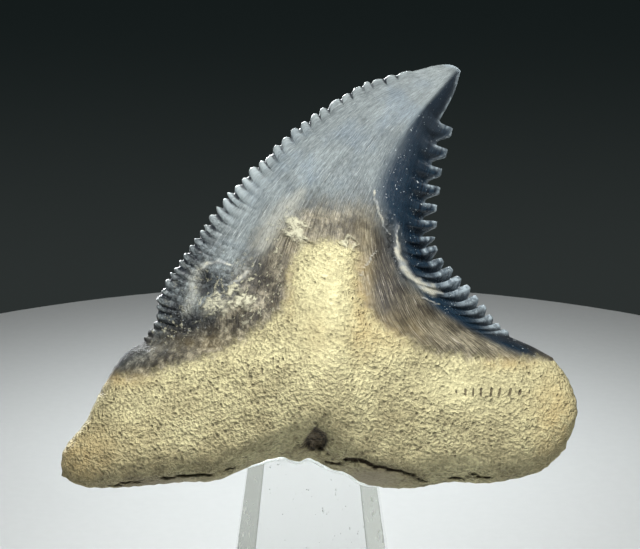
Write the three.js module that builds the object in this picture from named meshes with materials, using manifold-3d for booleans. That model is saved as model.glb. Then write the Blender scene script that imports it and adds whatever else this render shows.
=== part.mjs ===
// A fossil shark tooth leaning in the milled seat of a clear tapered post.
// Millimetres, +Z up. The origin is the middle of the post's foot, and the tooth's inner face looks along -Y.
import * as THREE from "three";
import { mergeGeometries, mergeVertices } from "three/addons/utils/BufferGeometryUtils.js";
import Module from "manifold-3d";

// Post: widths are across the flats, and the taper is the width lost for each millimetre of height.
const FOOT_WIDTH = 17.6;
const POST_TAPER = 0.277;
const POST_HEIGHT = 37.5;
const CORNER_CHAMFER = 0.12;

// Seat: where the lowest point of the root stands, how far the tooth leans back, and the room left around it.
const SEAT_HEIGHT = 32;
const SEAT_SETBACK = -3.6;
const LEAN = THREE.MathUtils.degToRad(12);
const CLEARANCE = 0.3;
const SEAT_HALF_WIDTH = 7;
const SEAT_CUT_REACH = 20;
const SADDLE_STEPS = 3;

// Tooth depths, measured from the plane of the cutting edges towards the inner and the outer face.
const INNER_LOBE_DEPTH = 4;
const INNER_CROWN_DEPTH = 3.4;
const INNER_POINT_DEPTH = 1.3;
const OUTER_ROOT_DEPTH = 2.2;
const OUTER_CROWN_DEPTH = 1.9;
const OUTER_POINT_DEPTH = 0.8;
const INNER_BASE_ROUNDING = 3;
const OUTER_BASE_ROUNDING = 1.4;
const POINT_BEND = 0.8;
const POINT_ROUNDING = 0.6;
const TOOTH_HEIGHT = 28.2;

// Cross-sections: where the crest lies across the tooth (0 to 1), and how sharp the section is at its edges,
// from 1 for a lens with cutting edges down to a round or flat form.
const MIDDLE_CREST = 0.5;
const POINT_CREST = 0.72;
const CUTTING_SECTION = 1;
const NECK_SECTION = 0.65;
const LOBE_SECTION = 0.38;
const OUTER_ROOT_SECTION = 0.3;
const OUTER_NECK_SECTION = 0.7;
const OUTER_CROWN_SECTION = 0.9;

// The swelling in the middle of the root and the narrow ridge that climbs from it into the crown.
const SWELLING = { x: 0.8, z: 7.5, depth: 2.4, width: 5.5, height: 5.5 };
const RIDGE = { x: 1.2, z: 9.5, depth: 0.5, width: 1.3, height: 5.5 };
const BASE_GROOVE = { x: 0.3, z: 2.6, depth: -0.6, width: 0.6, height: 1.5 };

// Serrations of the two cutting edges: the first pitch, its growth towards the point, how far they stand out,
// and how far they hook towards the point. The distal ones end where the point starts.
const MESIAL_SERRATIONS = { count: 38, firstPitch: 0.458, growth: 1.02, height: 0.5, hook: 0.2 };
const DISTAL_SERRATIONS = { count: 17, firstPitch: 0.66, growth: 1.05, height: 1.05, hook: 0.35 };
const SERRATION_REACH = 16;

// Outline in the plane of the cutting edges, as [x, z]. The edges are given along the bottoms of their notches.
const MESIAL_ROOT = [[-16.7, 0.8], [-16.6, 2.4], [-15.1, 4.4], [-13.9, 6.8], [-12.4, 9], [-11.1, 9.8]];
const MESIAL_EDGE = [
  [-11.1, 9.8], [-10.3, 11], [-10, 12.6], [-8.7, 14.8], [-7, 17.1], [-4.3, 20.5], [-0.7, 23.8], [3.3, 26.6],
  [6.5, 27.7],
];
const MESIAL_POINT = [[6.5, 27.7], [8.7, TOOTH_HEIGHT], [9.5, 28.1], [9.9, 27.8]];
const DISTAL_ROOT = [[17, 2.6], [17.8, 5.2], [17.1, 7.4], [16.1, 8.7]];
const DISTAL_EDGE = [
  [16.1, 8.7], [14.6, 9.5], [12.6, 10.4], [10.4, 12.2], [8.5, 14], [7.3, 15.9], [7.2, 17.1], [7.5, 20.2],
  [8.4, 24.3],
];
const DISTAL_POINT = [[8.4, 24.3], [9.5, 26.4], [9.9, 27.8]];
const ROOT_BASE = [
  [-16.7, 0.8], [-15.4, 0.1], [-13.1, 0], [-8.4, 0.4], [-6.4, 0.5], [-3.5, 1.7], [-1.9, 2.1], [-1, 1.8],
  [-0.1, 2], [1.1, 1.4], [2.4, 1], [3.3, 0.4], [4.5, 0.1], [6.7, 0], [9.3, 0.4], [11.6, 0.3], [13.6, 0.6],
  [15.5, 1.2], [17, 2.6],
];

// Rows of the tooth's surface: in the root, along the edges (two for each mesial serration) and at the point.
const ROOT_ROWS = 12;
const EDGE_ROWS = 2 * MESIAL_SERRATIONS.count;
const POINT_ROWS = 5;
const ROWS = ROOT_ROWS + EDGE_ROWS + POINT_ROWS;
const COLUMNS = 16;
const MERGE_DISTANCE = 1e-4;

const { clamp, lerp, smoothstep } = THREE.MathUtils;
const wasm = await Module();
wasm.setup();

function curveThrough(points) {
  const knots = points.map(([x, z]) => new THREE.Vector3(x, 0, z));
  return new THREE.CatmullRomCurve3(knots, false, "centripetal");
}

const sides = {
  mesial: {
    root: curveThrough(MESIAL_ROOT),
    edge: curveThrough(MESIAL_EDGE),
    point: curveThrough(MESIAL_POINT),
  },
  distal: {
    root: curveThrough(DISTAL_ROOT),
    edge: curveThrough(DISTAL_EDGE),
    point: curveThrough(DISTAL_POINT),
  },
};
const rootBase = curveThrough(ROOT_BASE);

// Distance along an edge to the given number of serrations, whose pitches grow in a fixed ratio.
function serrationDistance(serrations, number) {
  const { firstPitch, growth } = serrations;
  return (firstPitch * (growth ** number - 1)) / (growth - 1);
}

// The opposite: how many serrations, as a fraction, lie within a distance along the edge.
function serrationNumber(serrations, distance) {
  const { firstPitch, growth } = serrations;
  return Math.log(1 + (Math.max(distance, 0) * (growth - 1)) / firstPitch) / Math.log(growth);
}

// How far a serration stands out of its notches at a place along the edge, from 0 to 1.
function serrationSwell(number) {
  const phase = number - Math.floor(number);
  return 1 - Math.abs(2 * phase - 1) ** 1.7;
}

// A smooth mound (or hollow, with a negative depth) on the inner face.
function mound({ x, z, depth, width, height }, place) {
  const across = (place.x - x) / width;
  const along = (place.z - z) / height;
  return depth * Math.exp(-0.5 * (across * across + along * along));
}

// Quarter-round profile: 0 at the rim and 1 at a rounding radius above it.
function roundOver(height, radius) {
  const rise = clamp(height / radius, 0, 1);
  return Math.sqrt(rise * (2 - rise));
}

// Cross-section of the tooth from one edge (u = 0) to the other (u = 1), with its crest at u = crest.
// A sharpness of 1 gives a lens with sharp edges, and 0.5 a round ellipse.
function section(u, crest, sharpness) {
  const before = (u / crest) ** (2 * sharpness * crest);
  const after = ((1 - u) / (1 - crest)) ** (2 * sharpness * (1 - crest));
  return before * after;
}

// Which stretch of the tooth a row is in, and how far up that stretch.
function stretchOf(row) {
  if (row <= ROOT_ROWS) {
    return { name: "root", along: (row / ROOT_ROWS) ** 1.5 };
  }
  if (row <= ROOT_ROWS + EDGE_ROWS) {
    const number = (row - ROOT_ROWS) / 2;
    const whole = serrationDistance(MESIAL_SERRATIONS, MESIAL_SERRATIONS.count);
    const along = Math.min(serrationDistance(MESIAL_SERRATIONS, number) / whole, 1);
    return { name: "edge", along, number };
  }
  return { name: "point", along: (row - ROOT_ROWS - EDGE_ROWS) / POINT_ROWS };
}

// Outward step of a serration, given the edge's direction towards the point and the side that faces outwards.
function serrationStep(tangent, outward, height, hook) {
  const normal = new THREE.Vector3(-tangent.z * outward, 0, tangent.x * outward);
  return normal.addScaledVector(tangent, hook).multiplyScalar(height);
}

// Points of the two edges on one row, each with its serration step.
function rowEnds(stretch) {
  const { name, along } = stretch;
  const left = sides.mesial[name].getPointAt(along);
  const right = sides.distal[name].getPointAt(along);
  const ends = { left, right, leftStep: new THREE.Vector3(), rightStep: new THREE.Vector3() };
  if (name !== "edge") {
    return ends;
  }
  const grown = lerp(0.5, 1, smoothstep(along, 0, 0.35)) * lerp(1, 0.7, smoothstep(along, 0.7, 1));
  const leftHeight = MESIAL_SERRATIONS.height * grown * serrationSwell(stretch.number);
  const leftWay = sides.mesial.edge.getTangentAt(along);
  ends.leftStep = serrationStep(leftWay, 1, leftHeight, MESIAL_SERRATIONS.hook);
  const fromPoint = (1 - along) * sides.distal.edge.getLength();
  const distance = serrationDistance(DISTAL_SERRATIONS, DISTAL_SERRATIONS.count) - fromPoint;
  const bold = smoothstep(along, 0.08, 0.45);
  const swell = serrationSwell(serrationNumber(DISTAL_SERRATIONS, distance));
  const rightHeight = DISTAL_SERRATIONS.height * bold * swell;
  const rightWay = sides.distal.edge.getTangentAt(along);
  ends.rightStep = serrationStep(rightWay, -1, rightHeight, DISTAL_SERRATIONS.hook);
  return ends;
}

// Place in the plane of the cutting edges for a fraction across a row.
function outlinePlace(u, stretch, ends) {
  const place = ends.left.clone().lerp(ends.right, u);
  place.addScaledVector(ends.leftStep, (1 - u) ** SERRATION_REACH);
  place.addScaledVector(ends.rightStep, u ** SERRATION_REACH);
  if (stretch.name === "root") {
    const straight = rootBase.getPointAt(0).lerp(rootBase.getPointAt(1), u);
    place.addScaledVector(rootBase.getPointAt(u).sub(straight), 1 - stretch.along);
  }
  return place;
}

function innerDepth(u, stretch, place, aboveBase) {
  const { name, along } = stretch;
  const heaped = mound(SWELLING, place) + mound(RIDGE, place) + mound(BASE_GROOVE, place);
  const mounds = heaped * section(u, MIDDLE_CREST, CUTTING_SECTION);
  if (name === "root") {
    const sharpness = lerp(LOBE_SECTION, NECK_SECTION, smoothstep(along, 0.2, 1));
    const lobes = INNER_LOBE_DEPTH * section(u, MIDDLE_CREST, sharpness);
    return (lobes + mounds) * roundOver(aboveBase, INNER_BASE_ROUNDING);
  }
  if (name === "edge") {
    const crest = lerp(MIDDLE_CREST, POINT_CREST, smoothstep(along, 0.3, 1));
    const sharpness = lerp(NECK_SECTION, CUTTING_SECTION, smoothstep(along, 0, 0.25));
    const neckDepth = lerp(INNER_LOBE_DEPTH, INNER_CROWN_DEPTH, smoothstep(along, 0, 0.2));
    return lerp(neckDepth, INNER_POINT_DEPTH, along) * section(u, crest, sharpness) + mounds;
  }
  return INNER_POINT_DEPTH * (1 - along) ** POINT_ROUNDING * section(u, POINT_CREST, CUTTING_SECTION);
}

function outerDepth(u, stretch, aboveBase) {
  const { name, along } = stretch;
  if (name === "root") {
    const flat = section(u, MIDDLE_CREST, lerp(OUTER_ROOT_SECTION, OUTER_NECK_SECTION, along));
    return OUTER_ROOT_DEPTH * flat * roundOver(aboveBase, OUTER_BASE_ROUNDING);
  }
  if (name === "edge") {
    const neckDepth = lerp(OUTER_ROOT_DEPTH, OUTER_CROWN_DEPTH, smoothstep(along, 0, 0.3));
    const sharpness = lerp(OUTER_NECK_SECTION, OUTER_CROWN_SECTION, along);
    return lerp(neckDepth, OUTER_POINT_DEPTH, along) * section(u, MIDDLE_CREST, sharpness);
  }
  return OUTER_POINT_DEPTH * (1 - along) ** POINT_ROUNDING * section(u, MIDDLE_CREST, OUTER_CROWN_SECTION);
}

// One face of the tooth: a flat sheet whose vertices are moved onto the tooth's surface.
function toothFace(inner) {
  const sheet = new THREE.PlaneGeometry(1, 1, COLUMNS, ROWS);
  const vertices = sheet.attributes.position;
  for (let index = 0; index < vertices.count; index += 1) {
    const column = vertices.getX(index) + 0.5;
    const u = clamp(lerp(column, 0.5 - 0.5 * Math.cos(Math.PI * column), 0.5), 0, 1);
    const stretch = stretchOf(Math.round((vertices.getY(index) + 0.5) * ROWS));
    const place = outlinePlace(u, stretch, rowEnds(stretch));
    const aboveBase = place.z - rootBase.getPointAt(u).z;
    const bend = -POINT_BEND * (place.z / TOOTH_HEIGHT) ** 2;
    const onRim = u === 0 || u === 1 || stretch.along === 0 && stretch.name === "root";
    const depth = inner ? -innerDepth(u, stretch, place, aboveBase) : outerDepth(u, stretch, aboveBase);
    vertices.setXYZ(index, place.x, bend + (onRim ? 0 : depth), place.z);
  }
  if (!inner) {
    sheet.index.array.reverse();
  }
  return sheet;
}

// Joins sheets into one closed geometry: shared vertices merged and flattened triangles dropped.
function closedGeometry(sheets) {
  const joined = mergeGeometries(sheets);
  joined.deleteAttribute("normal");
  joined.deleteAttribute("uv");
  const merged = mergeVertices(joined, MERGE_DISTANCE);
  const corners = merged.index.array;
  const kept = [];
  for (let start = 0; start < corners.length; start += 3) {
    const [a, b, c] = corners.subarray(start, start + 3);
    if (a !== b && b !== c && c !== a) {
      kept.push(a, b, c);
    }
  }
  merged.setIndex(kept);
  return merged;
}

function solidOf(geometry) {
  return new wasm.Manifold(new wasm.Mesh({
    numProp: 3,
    vertProperties: new Float32Array(geometry.attributes.position.array),
    triVerts: new Uint32Array(geometry.index.array),
  }));
}

function geometryOf(solid) {
  const mesh = solid.getMesh();
  const geometry = new THREE.BufferGeometry();
  geometry.setAttribute("position", new THREE.BufferAttribute(mesh.vertProperties, 3));
  geometry.setIndex(new THREE.BufferAttribute(mesh.triVerts, 1));
  return geometry;
}

// Square outline with cut corners, centred on the post's axis.
function chamferedSquare(width) {
  const half = width / 2;
  const cut = half - width * CORNER_CHAMFER;
  const corners = [
    [cut, -half], [half, -cut], [half, cut], [cut, half],
    [-cut, half], [-half, cut], [-half, -cut], [-cut, -half],
  ];
  return new THREE.Shape(corners.map(([x, y]) => new THREE.Vector2(x, y)));
}

// The plain post: an upright prism narrowed towards its top.
function taperedPost() {
  const upright = { depth: POST_HEIGHT, bevelEnabled: false };
  const prism = new THREE.ExtrudeGeometry(chamferedSquare(FOOT_WIDTH), upright);
  const vertices = prism.attributes.position;
  for (let index = 0; index < vertices.count; index += 1) {
    const narrowed = 1 - (POST_TAPER * vertices.getZ(index)) / FOOT_WIDTH;
    vertices.setXY(index, vertices.getX(index) * narrowed, vertices.getY(index) * narrowed);
  }
  return closedGeometry([prism]);
}

// Moves a geometry from the tooth's own frame to its leaning place in the seat.
function leanInSeat(geometry) {
  geometry.rotateX(-LEAN);
  geometry.translate(0, SEAT_SETBACK, SEAT_HEIGHT);
  return geometry;
}

// The room milled out of the post: a saddle that follows the base of the root, up to the flat back rest.
function seatCut() {
  const outline = new THREE.Shape();
  const saddle = ROOT_BASE.filter(([x]) => Math.abs(x) < SEAT_HALF_WIDTH);
  outline.moveTo(saddle[0][0], SEAT_CUT_REACH);
  outline.lineTo(saddle[0][0], saddle[0][1] - CLEARANCE);
  const knots = saddle.map(([x, z]) => new THREE.Vector2(x, z - CLEARANCE));
  outline.splineThru(knots.slice(1));
  outline.lineTo(saddle.at(-1)[0], SEAT_CUT_REACH);
  const sweep = { depth: SEAT_CUT_REACH, bevelEnabled: false, curveSegments: SADDLE_STEPS };
  const block = new THREE.ExtrudeGeometry(outline, sweep);
  block.rotateX(Math.PI / 2);
  block.translate(0, OUTER_ROOT_DEPTH + CLEARANCE, 0);
  return leanInSeat(closedGeometry([block]));
}

function makeTooth() {
  const material = new THREE.MeshStandardMaterial({ color: "#b9ae84", roughness: 0.55, metalness: 0 });
  const geometry = leanInSeat(closedGeometry([toothFace(true), toothFace(false)]));
  const tooth = new THREE.Mesh(geometry, material);
  tooth.name = "tooth";
  return tooth;
}

function makeStand() {
  const material = new THREE.MeshStandardMaterial({
    color: "#e4ebec", roughness: 0.06, metalness: 0, transparent: true, opacity: 0.35,
  });
  const geometry = geometryOf(solidOf(taperedPost()).subtract(solidOf(seatCut())));
  const stand = new THREE.Mesh(geometry, material);
  stand.name = "stand";
  return stand;
}

const toothOnStand = new THREE.Group();
toothOnStand.add(makeTooth(), makeStand());

export default toothOnStand;
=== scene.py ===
"""Fossil shark tooth leaning in the seat of a clear acrylic post, as a Blender add-on run as a script."""
import math

import bmesh
import bpy
import numpy as np
from bpy.props import FloatProperty, FloatVectorProperty, IntProperty, PointerProperty
from mathutils import Matrix, Vector, noise


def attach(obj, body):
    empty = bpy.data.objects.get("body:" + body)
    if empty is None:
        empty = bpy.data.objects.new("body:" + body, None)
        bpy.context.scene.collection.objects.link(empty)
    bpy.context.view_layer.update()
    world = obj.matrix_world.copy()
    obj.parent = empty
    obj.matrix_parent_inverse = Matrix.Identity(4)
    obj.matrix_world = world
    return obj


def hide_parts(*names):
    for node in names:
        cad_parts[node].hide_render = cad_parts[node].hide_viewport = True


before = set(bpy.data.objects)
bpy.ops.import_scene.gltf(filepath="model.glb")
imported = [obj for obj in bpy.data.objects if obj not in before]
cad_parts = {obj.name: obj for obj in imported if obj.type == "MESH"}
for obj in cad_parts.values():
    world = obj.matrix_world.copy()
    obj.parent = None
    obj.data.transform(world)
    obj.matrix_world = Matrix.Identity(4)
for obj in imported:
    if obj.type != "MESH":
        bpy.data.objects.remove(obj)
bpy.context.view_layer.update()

bl_info = {
    "name": "Fossil Tooth on a Post",
    "version": (1, 0, 0),
    "blender": (4, 5, 0),
    "location": "View3D > Sidebar > Fossil",
    "description": "Models a fossil shark tooth, its clear post and a plain studio stage",
    "category": "Add Mesh",
}

MM = 0.001
ROOT_BODY = "root"

# The front view that the lines on the inner face are placed in: its middle in the plane of the cutting edges,
# the distance of the eye in millimetres, and how far above square on it is.
VIEW_MIDDLE = (0.6, 14.27)
VIEW_DISTANCE = 170
VIEW_TILT = math.radians(3)

# Outline of the tooth in the plane of its cutting edges, as (x, z) in millimetres from the middle of the
# root's base. The edges run along the bottoms of the notches between their serrations.
MESIAL_ROOT = [(-16.7, 0.8), (-16.6, 2.4), (-15.1, 4.4), (-13.9, 6.8), (-12.4, 9.0), (-11.1, 9.8)]
MESIAL_EDGE = [
    (-11.1, 9.8), (-10.3, 11.0), (-10.0, 12.6), (-8.7, 14.8), (-7.0, 17.1), (-4.3, 20.5), (-0.7, 23.8),
    (3.3, 26.6), (6.5, 27.7),
]
MESIAL_POINT = [(6.5, 27.7), (8.7, 28.2), (9.5, 28.1), (9.9, 27.8)]
DISTAL_ROOT = [(17.0, 2.6), (17.8, 5.2), (17.1, 7.4), (16.1, 8.7)]
DISTAL_EDGE = [
    (16.1, 8.7), (14.6, 9.5), (12.6, 10.4), (10.4, 12.2), (8.5, 14.0), (7.3, 15.9), (7.2, 17.1),
    (7.5, 20.2), (8.4, 24.3),
]
DISTAL_POINT = [(8.4, 24.3), (9.5, 26.4), (9.9, 27.8)]
ROOT_BASE = [
    (-16.7, 0.8), (-15.4, 0.1), (-13.1, 0.0), (-8.4, 0.4), (-6.4, 0.5), (-3.5, 1.7), (-1.9, 2.1), (-1.0, 1.8),
    (-0.1, 2.0), (1.1, 1.4), (2.4, 1.0), (3.3, 0.4), (4.5, 0.1), (6.7, 0.0), (9.3, 0.4), (11.6, 0.3),
    (13.6, 0.6), (15.5, 1.2), (17.0, 2.6),
]
TOOTH_HEIGHT = 28.2

# Lines on the inner face, as seen from in front: where the root's bone ends, where the brown band gives way
# to the blade, and the crest that borders the dark facet.
INNER_JUNCTION = [
    (-14.1, 6.4), (-13.3, 7.2), (-11.3, 7.4), (-9.4, 8.0), (-5.8, 9.2), (-2.9, 11.1), (-1.7, 12.2),
    (-1.4, 13.6), (-1.1, 15.1), (-0.5, 16.2), (0.6, 16.5), (2.3, 16.3), (3.0, 15.6), (3.1, 14.0), (3.3, 12.6),
    (4.6, 11.0), (7.4, 9.3), (9.5, 8.8), (13.5, 8.5), (15.1, 8.6), (16.2, 8.5),
]
INNER_BAND = [
    (-13.4, 7.8), (-10.9, 9.1), (-8.1, 10.9), (-5.6, 12.9), (-4.2, 15.0), (-3.0, 16.9), (-1.7, 18.2),
    (-0.4, 18.8), (1.6, 18.9), (3.4, 18.7), (4.7, 18.1), (5.5, 17.0), (6.0, 15.6), (6.4, 14.5), (7.3, 13.7),
    (8.5, 12.9), (10.6, 11.7), (12.7, 10.5), (15.6, 9.2),
]
DARK_FACET = [
    (9.7, 28.0), (8.4, 26.4), (6.9, 24.7), (5.6, 22.7), (4.7, 20.9), (4.4, 19.6), (4.9, 18.2), (5.6, 17.1),
    (5.8, 15.9), (6.1, 14.7), (6.8, 13.7), (7.6, 12.7), (8.5, 11.9), (10.1, 10.9), (12.2, 9.7), (14.5, 8.8),
    (16.2, 8.5),
]

# Strokes on the inner face, each a line of (x, z, half-width): the raised lip and its painted shadow, pale
# scars and veils, and the cracks along the base.
LIP = [
    (5.8, 17.6, 0.04), (5.7, 16.6, 0.09), (5.8, 15.7, 0.22), (6.2, 14.7, 0.34), (6.8, 14.0, 0.17),
    (7.4, 13.6, 0.30), (8.2, 13.2, 0.36), (8.7, 13.0, 0.10),
]
# The lip's shadow, painted dark beside it.
LIP_SHADOW = [(5.2, 18.3, 0.2), (5.2, 17.0, 0.3), (5.3, 16.0, 0.3), (5.7, 14.9, 0.2), (6.3, 14.0, 0.12)]
SCARS = [
    [(-5.3, 14.8, 0.06), (-6.1, 15.2, 0.12), (-6.9, 15.0, 0.12), (-7.4, 14.6, 0.08)],
    [(-5.7, 13.6, 0.08), (-4.9, 13.9, 0.14), (-4.1, 14.6, 0.08)],
    [(3.3, 14.2, 0.05), (3.9, 15.3, 0.06), (4.4, 15.8, 0.05)],
    [(4.2, 19.8, 0.07), (4.4, 18.8, 0.10), (4.8, 17.7, 0.06), (5.2, 16.9, 0.04)],
    [(7.4, 12.7, 0.05), (8.6, 12.3, 0.06)],
]
VEILS = [
    [(-3.3, 16.1, 0.4), (-2.5, 17.7, 0.7), (-1.5, 18.8, 0.6), (-0.6, 19.8, 0.3)],
    [(-7.0, 15.0, 0.2), (-7.8, 14.2, 0.35), (-7.8, 12.9, 0.4), (-8.3, 11.8, 0.3)],
]
CRACKS = [
    [(-13.6, 0.1, 0.03), (-12.2, 0.35, 0.04), (-10.7, 0.5, 0.04), (-9.4, 0.7, 0.055), (-7.9, 0.85, 0.045),
     (-6.9, 0.85, 0.04), (-5.9, 1.1, 0.04), (-5.1, 1.3, 0.03)],
    [(0.9, 1.7, 0.07), (1.9, 1.6, 0.08), (2.4, 1.9, 0.14), (3.1, 1.9, 0.17), (4.1, 1.5, 0.13),
     (5.9, 1.1, 0.08), (6.7, 0.9, 0.09), (7.7, 0.4, 0.04)],
    [(9.4, 0.6, 0.05), (10.9, 0.8, 0.07), (12.1, 0.6, 0.04)],
]

# The hole under the root's middle, anticlockwise, and the small pits beside it.
FORAMEN = [(0.4, 4.2), (-0.5, 3.0), (-0.1, 2.5), (0.8, 2.5), (1.2, 3.2)]
SIDE_PITS = [(-0.7, 2.7), (1.1, 2.3), (1.5, 1.9), (-1.1, 3.4)]

# Lines on the outer face, where the enamel reaches lower and more evenly.
OUTER_JUNCTION = [(-14.1, 6.4), (-10.0, 6.2), (-5.0, 5.6), (0.5, 5.2), (6.0, 5.8), (12.0, 7.0), (16.2, 8.4)]
OUTER_BAND = [(-13.4, 7.8), (-9.0, 7.9), (-4.0, 7.2), (0.5, 6.8), (6.0, 7.4), (11.0, 8.4), (15.6, 9.0)]

# The tooth's section from base to point, as (level, value): -1 to 0 is the root, 0 to 1 the serrated crown,
# and 1 to 2 the point.
INNER_DEPTH = [
    (-1, 4.0), (-0.4, 4.0), (0, 3.9), (0.3, 3.3), (0.6, 2.5), (0.85, 1.75), (1, 1.3), (1.5, 0.8), (2, 0),
]
INNER_SHARPNESS = [(-1, 0.38), (-0.5, 0.42), (0, 0.65), (0.3, 1.0), (0.6, 1.15), (1, 1.1), (2, 0.9)]
CREST = [(-1, 0.5), (0, 0.5), (0.3, 0.62), (0.5, 0.7), (0.75, 0.68), (0.9, 0.62), (1, 0.62), (2, 0.5)]
CREST_KEENNESS = [(-1, 0), (0.45, 0), (0.7, 0.4), (1, 0.75), (2, 0.6)]
OUTER_DEPTH = [(-1, 2.2), (0, 2.2), (0.3, 1.7), (0.7, 1.1), (1, 0.8), (1.5, 0.5), (2, 0)]
OUTER_SHARPNESS = [(-1, 0.3), (0, 0.7), (0.5, 0.9), (2, 0.9)]

# Mounds and hollows of the inner face: (x, z, depth, half-width, half-height).
MOUNDS = [
    (0.8, 7.5, 2.4, 5.5, 5.5),
    (3.9, 13.4, -0.45, 0.9, 2.4),
    (-3.2, 13.0, -0.25, 1.2, 2.6),
    (0.3, 2.4, -0.8, 0.8, 1.4),
    (10.5, 5.4, 0.35, 3.0, 1.6),
    (-9.5, 4.6, 0.3, 3.0, 1.4),
]

# The ridge that climbs from the root's middle into the crown, as (height, value): where it runs, how far it
# stands out and how wide it is.
RIDGE_LINE = [(3.5, 0.5), (8.0, 0.9), (12.0, 1.4), (16.0, 1.0)]
RIDGE_HEIGHT = [(3.5, 0), (6.0, 0.7), (12.5, 0.85), (16.0, 0.35), (18.0, 0)]
RIDGE_WIDTH = [(4.0, 2.4), (8.0, 1.9), (14.0, 1.2), (18.0, 0.9)]

# Patches of colour, each a list of (x, z, strength, half-width, half-height). In the bone's patches a
# negative strength is lighter bone: they hold its own cleaner and browner patches together with painted
# light on the ridge, mound and right lobe and painted shade on the lower root.
GLOOM = [
    (-7.2, 13.9, 2.6, 0.28, 0.5), (-6.3, 13.7, 0.9, 0.8, 0.7), (-12.2, 9.2, 0.7, 1.1, 0.5),
    (-9.2, 11.2, 1.3, 1.0, 1.3), (-7.6, 11.0, 0.6, 0.8, 0.6),
]
FLECKS = [
    (-5.0, 12.8, 1.0, 2.0, 1.3), (-2.4, 14.6, 0.7, 1.1, 1.6), (-9.4, 10.4, 0.8, 1.0, 0.8),
    (-1.0, 17.2, 0.8, 0.8, 1.0),
]
UMBER = [
    (-3.4, 14.4, 0.9, 0.9, 1.5), (5.0, 15.8, 1.4, 0.6, 1.7), (-8.0, 10.6, 0.9, 1.6, 0.7),
    (5.4, 13.4, 1.3, 0.8, 1.7), (7.6, 12.0, 0.8, 1.3, 0.6), (10.0, 10.9, 0.7, 1.6, 0.5),
    (-10.4, 9.0, 0.5, 1.4, 0.6), (-4.8, 11.4, 0.5, 1.2, 0.6),
]
STAINS = [
    (13.0, 8.3, 0.9, 1.3, 0.3), (-13.0, 7.2, 0.9, 1.4, 0.35), (3.3, 12.6, 0.9, 0.5, 2.4),
    (16.4, 4.8, 1.0, 1.1, 2.2), (-7.6, 9.7, 0.2, 2.2, 0.5), (5.0, 10.2, 0.6, 1.6, 0.9),
    (0.4, 10.4, 0.35, 0.7, 0.9), (-15.6, 1.8, 0.9, 1.3, 1.5), (-12.6, 3.4, 0.3, 1.6, 1.0),
    (-1.4, 13.0, 0.5, 0.25, 1.6),
]
BONE_PATCHES_AND_PAINTED_LIGHT = [
    (0.6, 12.4, -0.26, 2.0, 3.4), (-0.5, 9.8, -0.08, 1.5, 1.0), (9.5, 6.4, -0.22, 5.0, 1.6),
    (-15.2, 3.0, 0.35, 2.0, 2.0), (-4.1, 6.4, 0.15, 1.4, 1.4), (10.8, 1.2, -0.16, 3.6, 1.2),
    (-0.6, 4.8, 0.10, 1.8, 1.0), (-6.4, 2.2, 0.10, 2.4, 1.0), (9.0, 3.6, 0.16, 4.4, 1.3),
    (16.6, 5.0, -0.06, 1.0, 2.4), (5.0, 5.2, 0.20, 1.6, 1.1), (0.2, 3.2, 0.25, 2.0, 1.2),
]
FLAKES = [(4.2, 0.6, 1.2, 1.5, 0.5), (-9.5, 0.3, 1.0, 2.2, 0.3)]
SLITS = [(12.1, 6.4, 1.5, 2.6, 0.34), (-3.6, 8.9, 0.7, 0.3, 0.3)]
SCRATCHES = [(-3.6, 17.2, 1.0, 2.2, 2.4)]
MOTTLED_CROWN = [(1.0, 17.6, 0.5, 2.2, 1.2)]
CRUST_LUMPS = [
    (-6.4, 12.1, 1.1, 0.6, 0.35), (-6.4, 12.9, 0.9, 0.22, 0.2), (-4.2, 12.4, 0.7, 0.5, 0.4),
    (-1.2, 17.8, 0.9, 0.4, 0.35), (-1.5, 17.1, 0.8, 0.25, 0.22), (-0.7, 17.0, 0.9, 0.3, 0.6),
    (-9.7, 10.5, 0.8, 0.14, 0.14), (0.7, 16.8, 0.7, 0.15, 0.25),
]
OUTER_GLOOM = [(-9.0, 10.0, 0.9, 1.6, 1.6), (9.5, 11.0, 0.7, 2.4, 1.2)]
OUTER_UMBER = [(0.0, 6.0, 0.7, 12.0, 0.5)]
OUTER_SLITS = [(0.0, 3.6, 0.8, 11.0, 0.6)]
OUTER_STAINS = [(-6.0, 5.6, 0.6, 4.0, 0.5), (9.0, 6.3, 0.6, 4.0, 0.5)]

# Rings of crust around hollows: (x, z, radius, half-width). The hollow that lies in the darkest patch is also
# sunk.
CRUST_RINGS = [(-5.0, 12.9, 0.5, 0.22), (2.6, 16.3, 0.42, 0.18)]
SUNK_HOLLOW = (-7.2, 13.9, 1.0, 0.35, 0.5)

# Serrations of the two cutting edges: their counts and growth towards the point, the first coarse one's
# pitch, the one that is chipped, and how far into the tooth their steps, hooks, ribs and notches reach.
MESIAL_COUNT = 38
MESIAL_GROWTH = 1.02
DISTAL_COUNT = 17
DISTAL_FIRST_PITCH = 0.66
DISTAL_GROWTH = 1.05
SERRATION_SEED = 7
CHIPPED_MESIAL = 24
CHIPPED_SIZE = 0.35
MESIAL_REACH = 0.40
DISTAL_REACH = 0.30
STEP_FADE = 1.4
HOOK_RISE = 0.55
HOOK_REACH = 0.9
DISTAL_HOOK = 0.25
RIB_REACH = [(-1, 0.4), (0, 0.4), (0.25, 0.5), (0.4, 0.9), (0.7, 0.5), (1, 0.3), (2, 0.3)]
NOTCH_REACH = [(-1, 1.3), (0, 1.3), (0.25, 1.1), (0.45, 0.8), (0.7, 0.4), (1, 0.3), (2, 0.3)]
THUMB_REACH = [(-1, 0.22), (0.15, 0.22), (0.3, 0.4), (0.5, 0.5), (2, 0.45)]
DISTAL_NOTCH_REACH = 0.6

# How far colours reach in from the edges, in millimetres: the dark heels under the serrations, the dark shore
# of the fine ones, the painted highlights on the rims of the coarse ones and the blackest part of the facet.
MESIAL_HEEL_REACH = 0.4
DISTAL_HEEL_REACH = 0.35
SHORE_REACH = 1.6
RIM_HIGHLIGHT_REACH = 0.15
BLACK_REACH = 1.4

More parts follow.
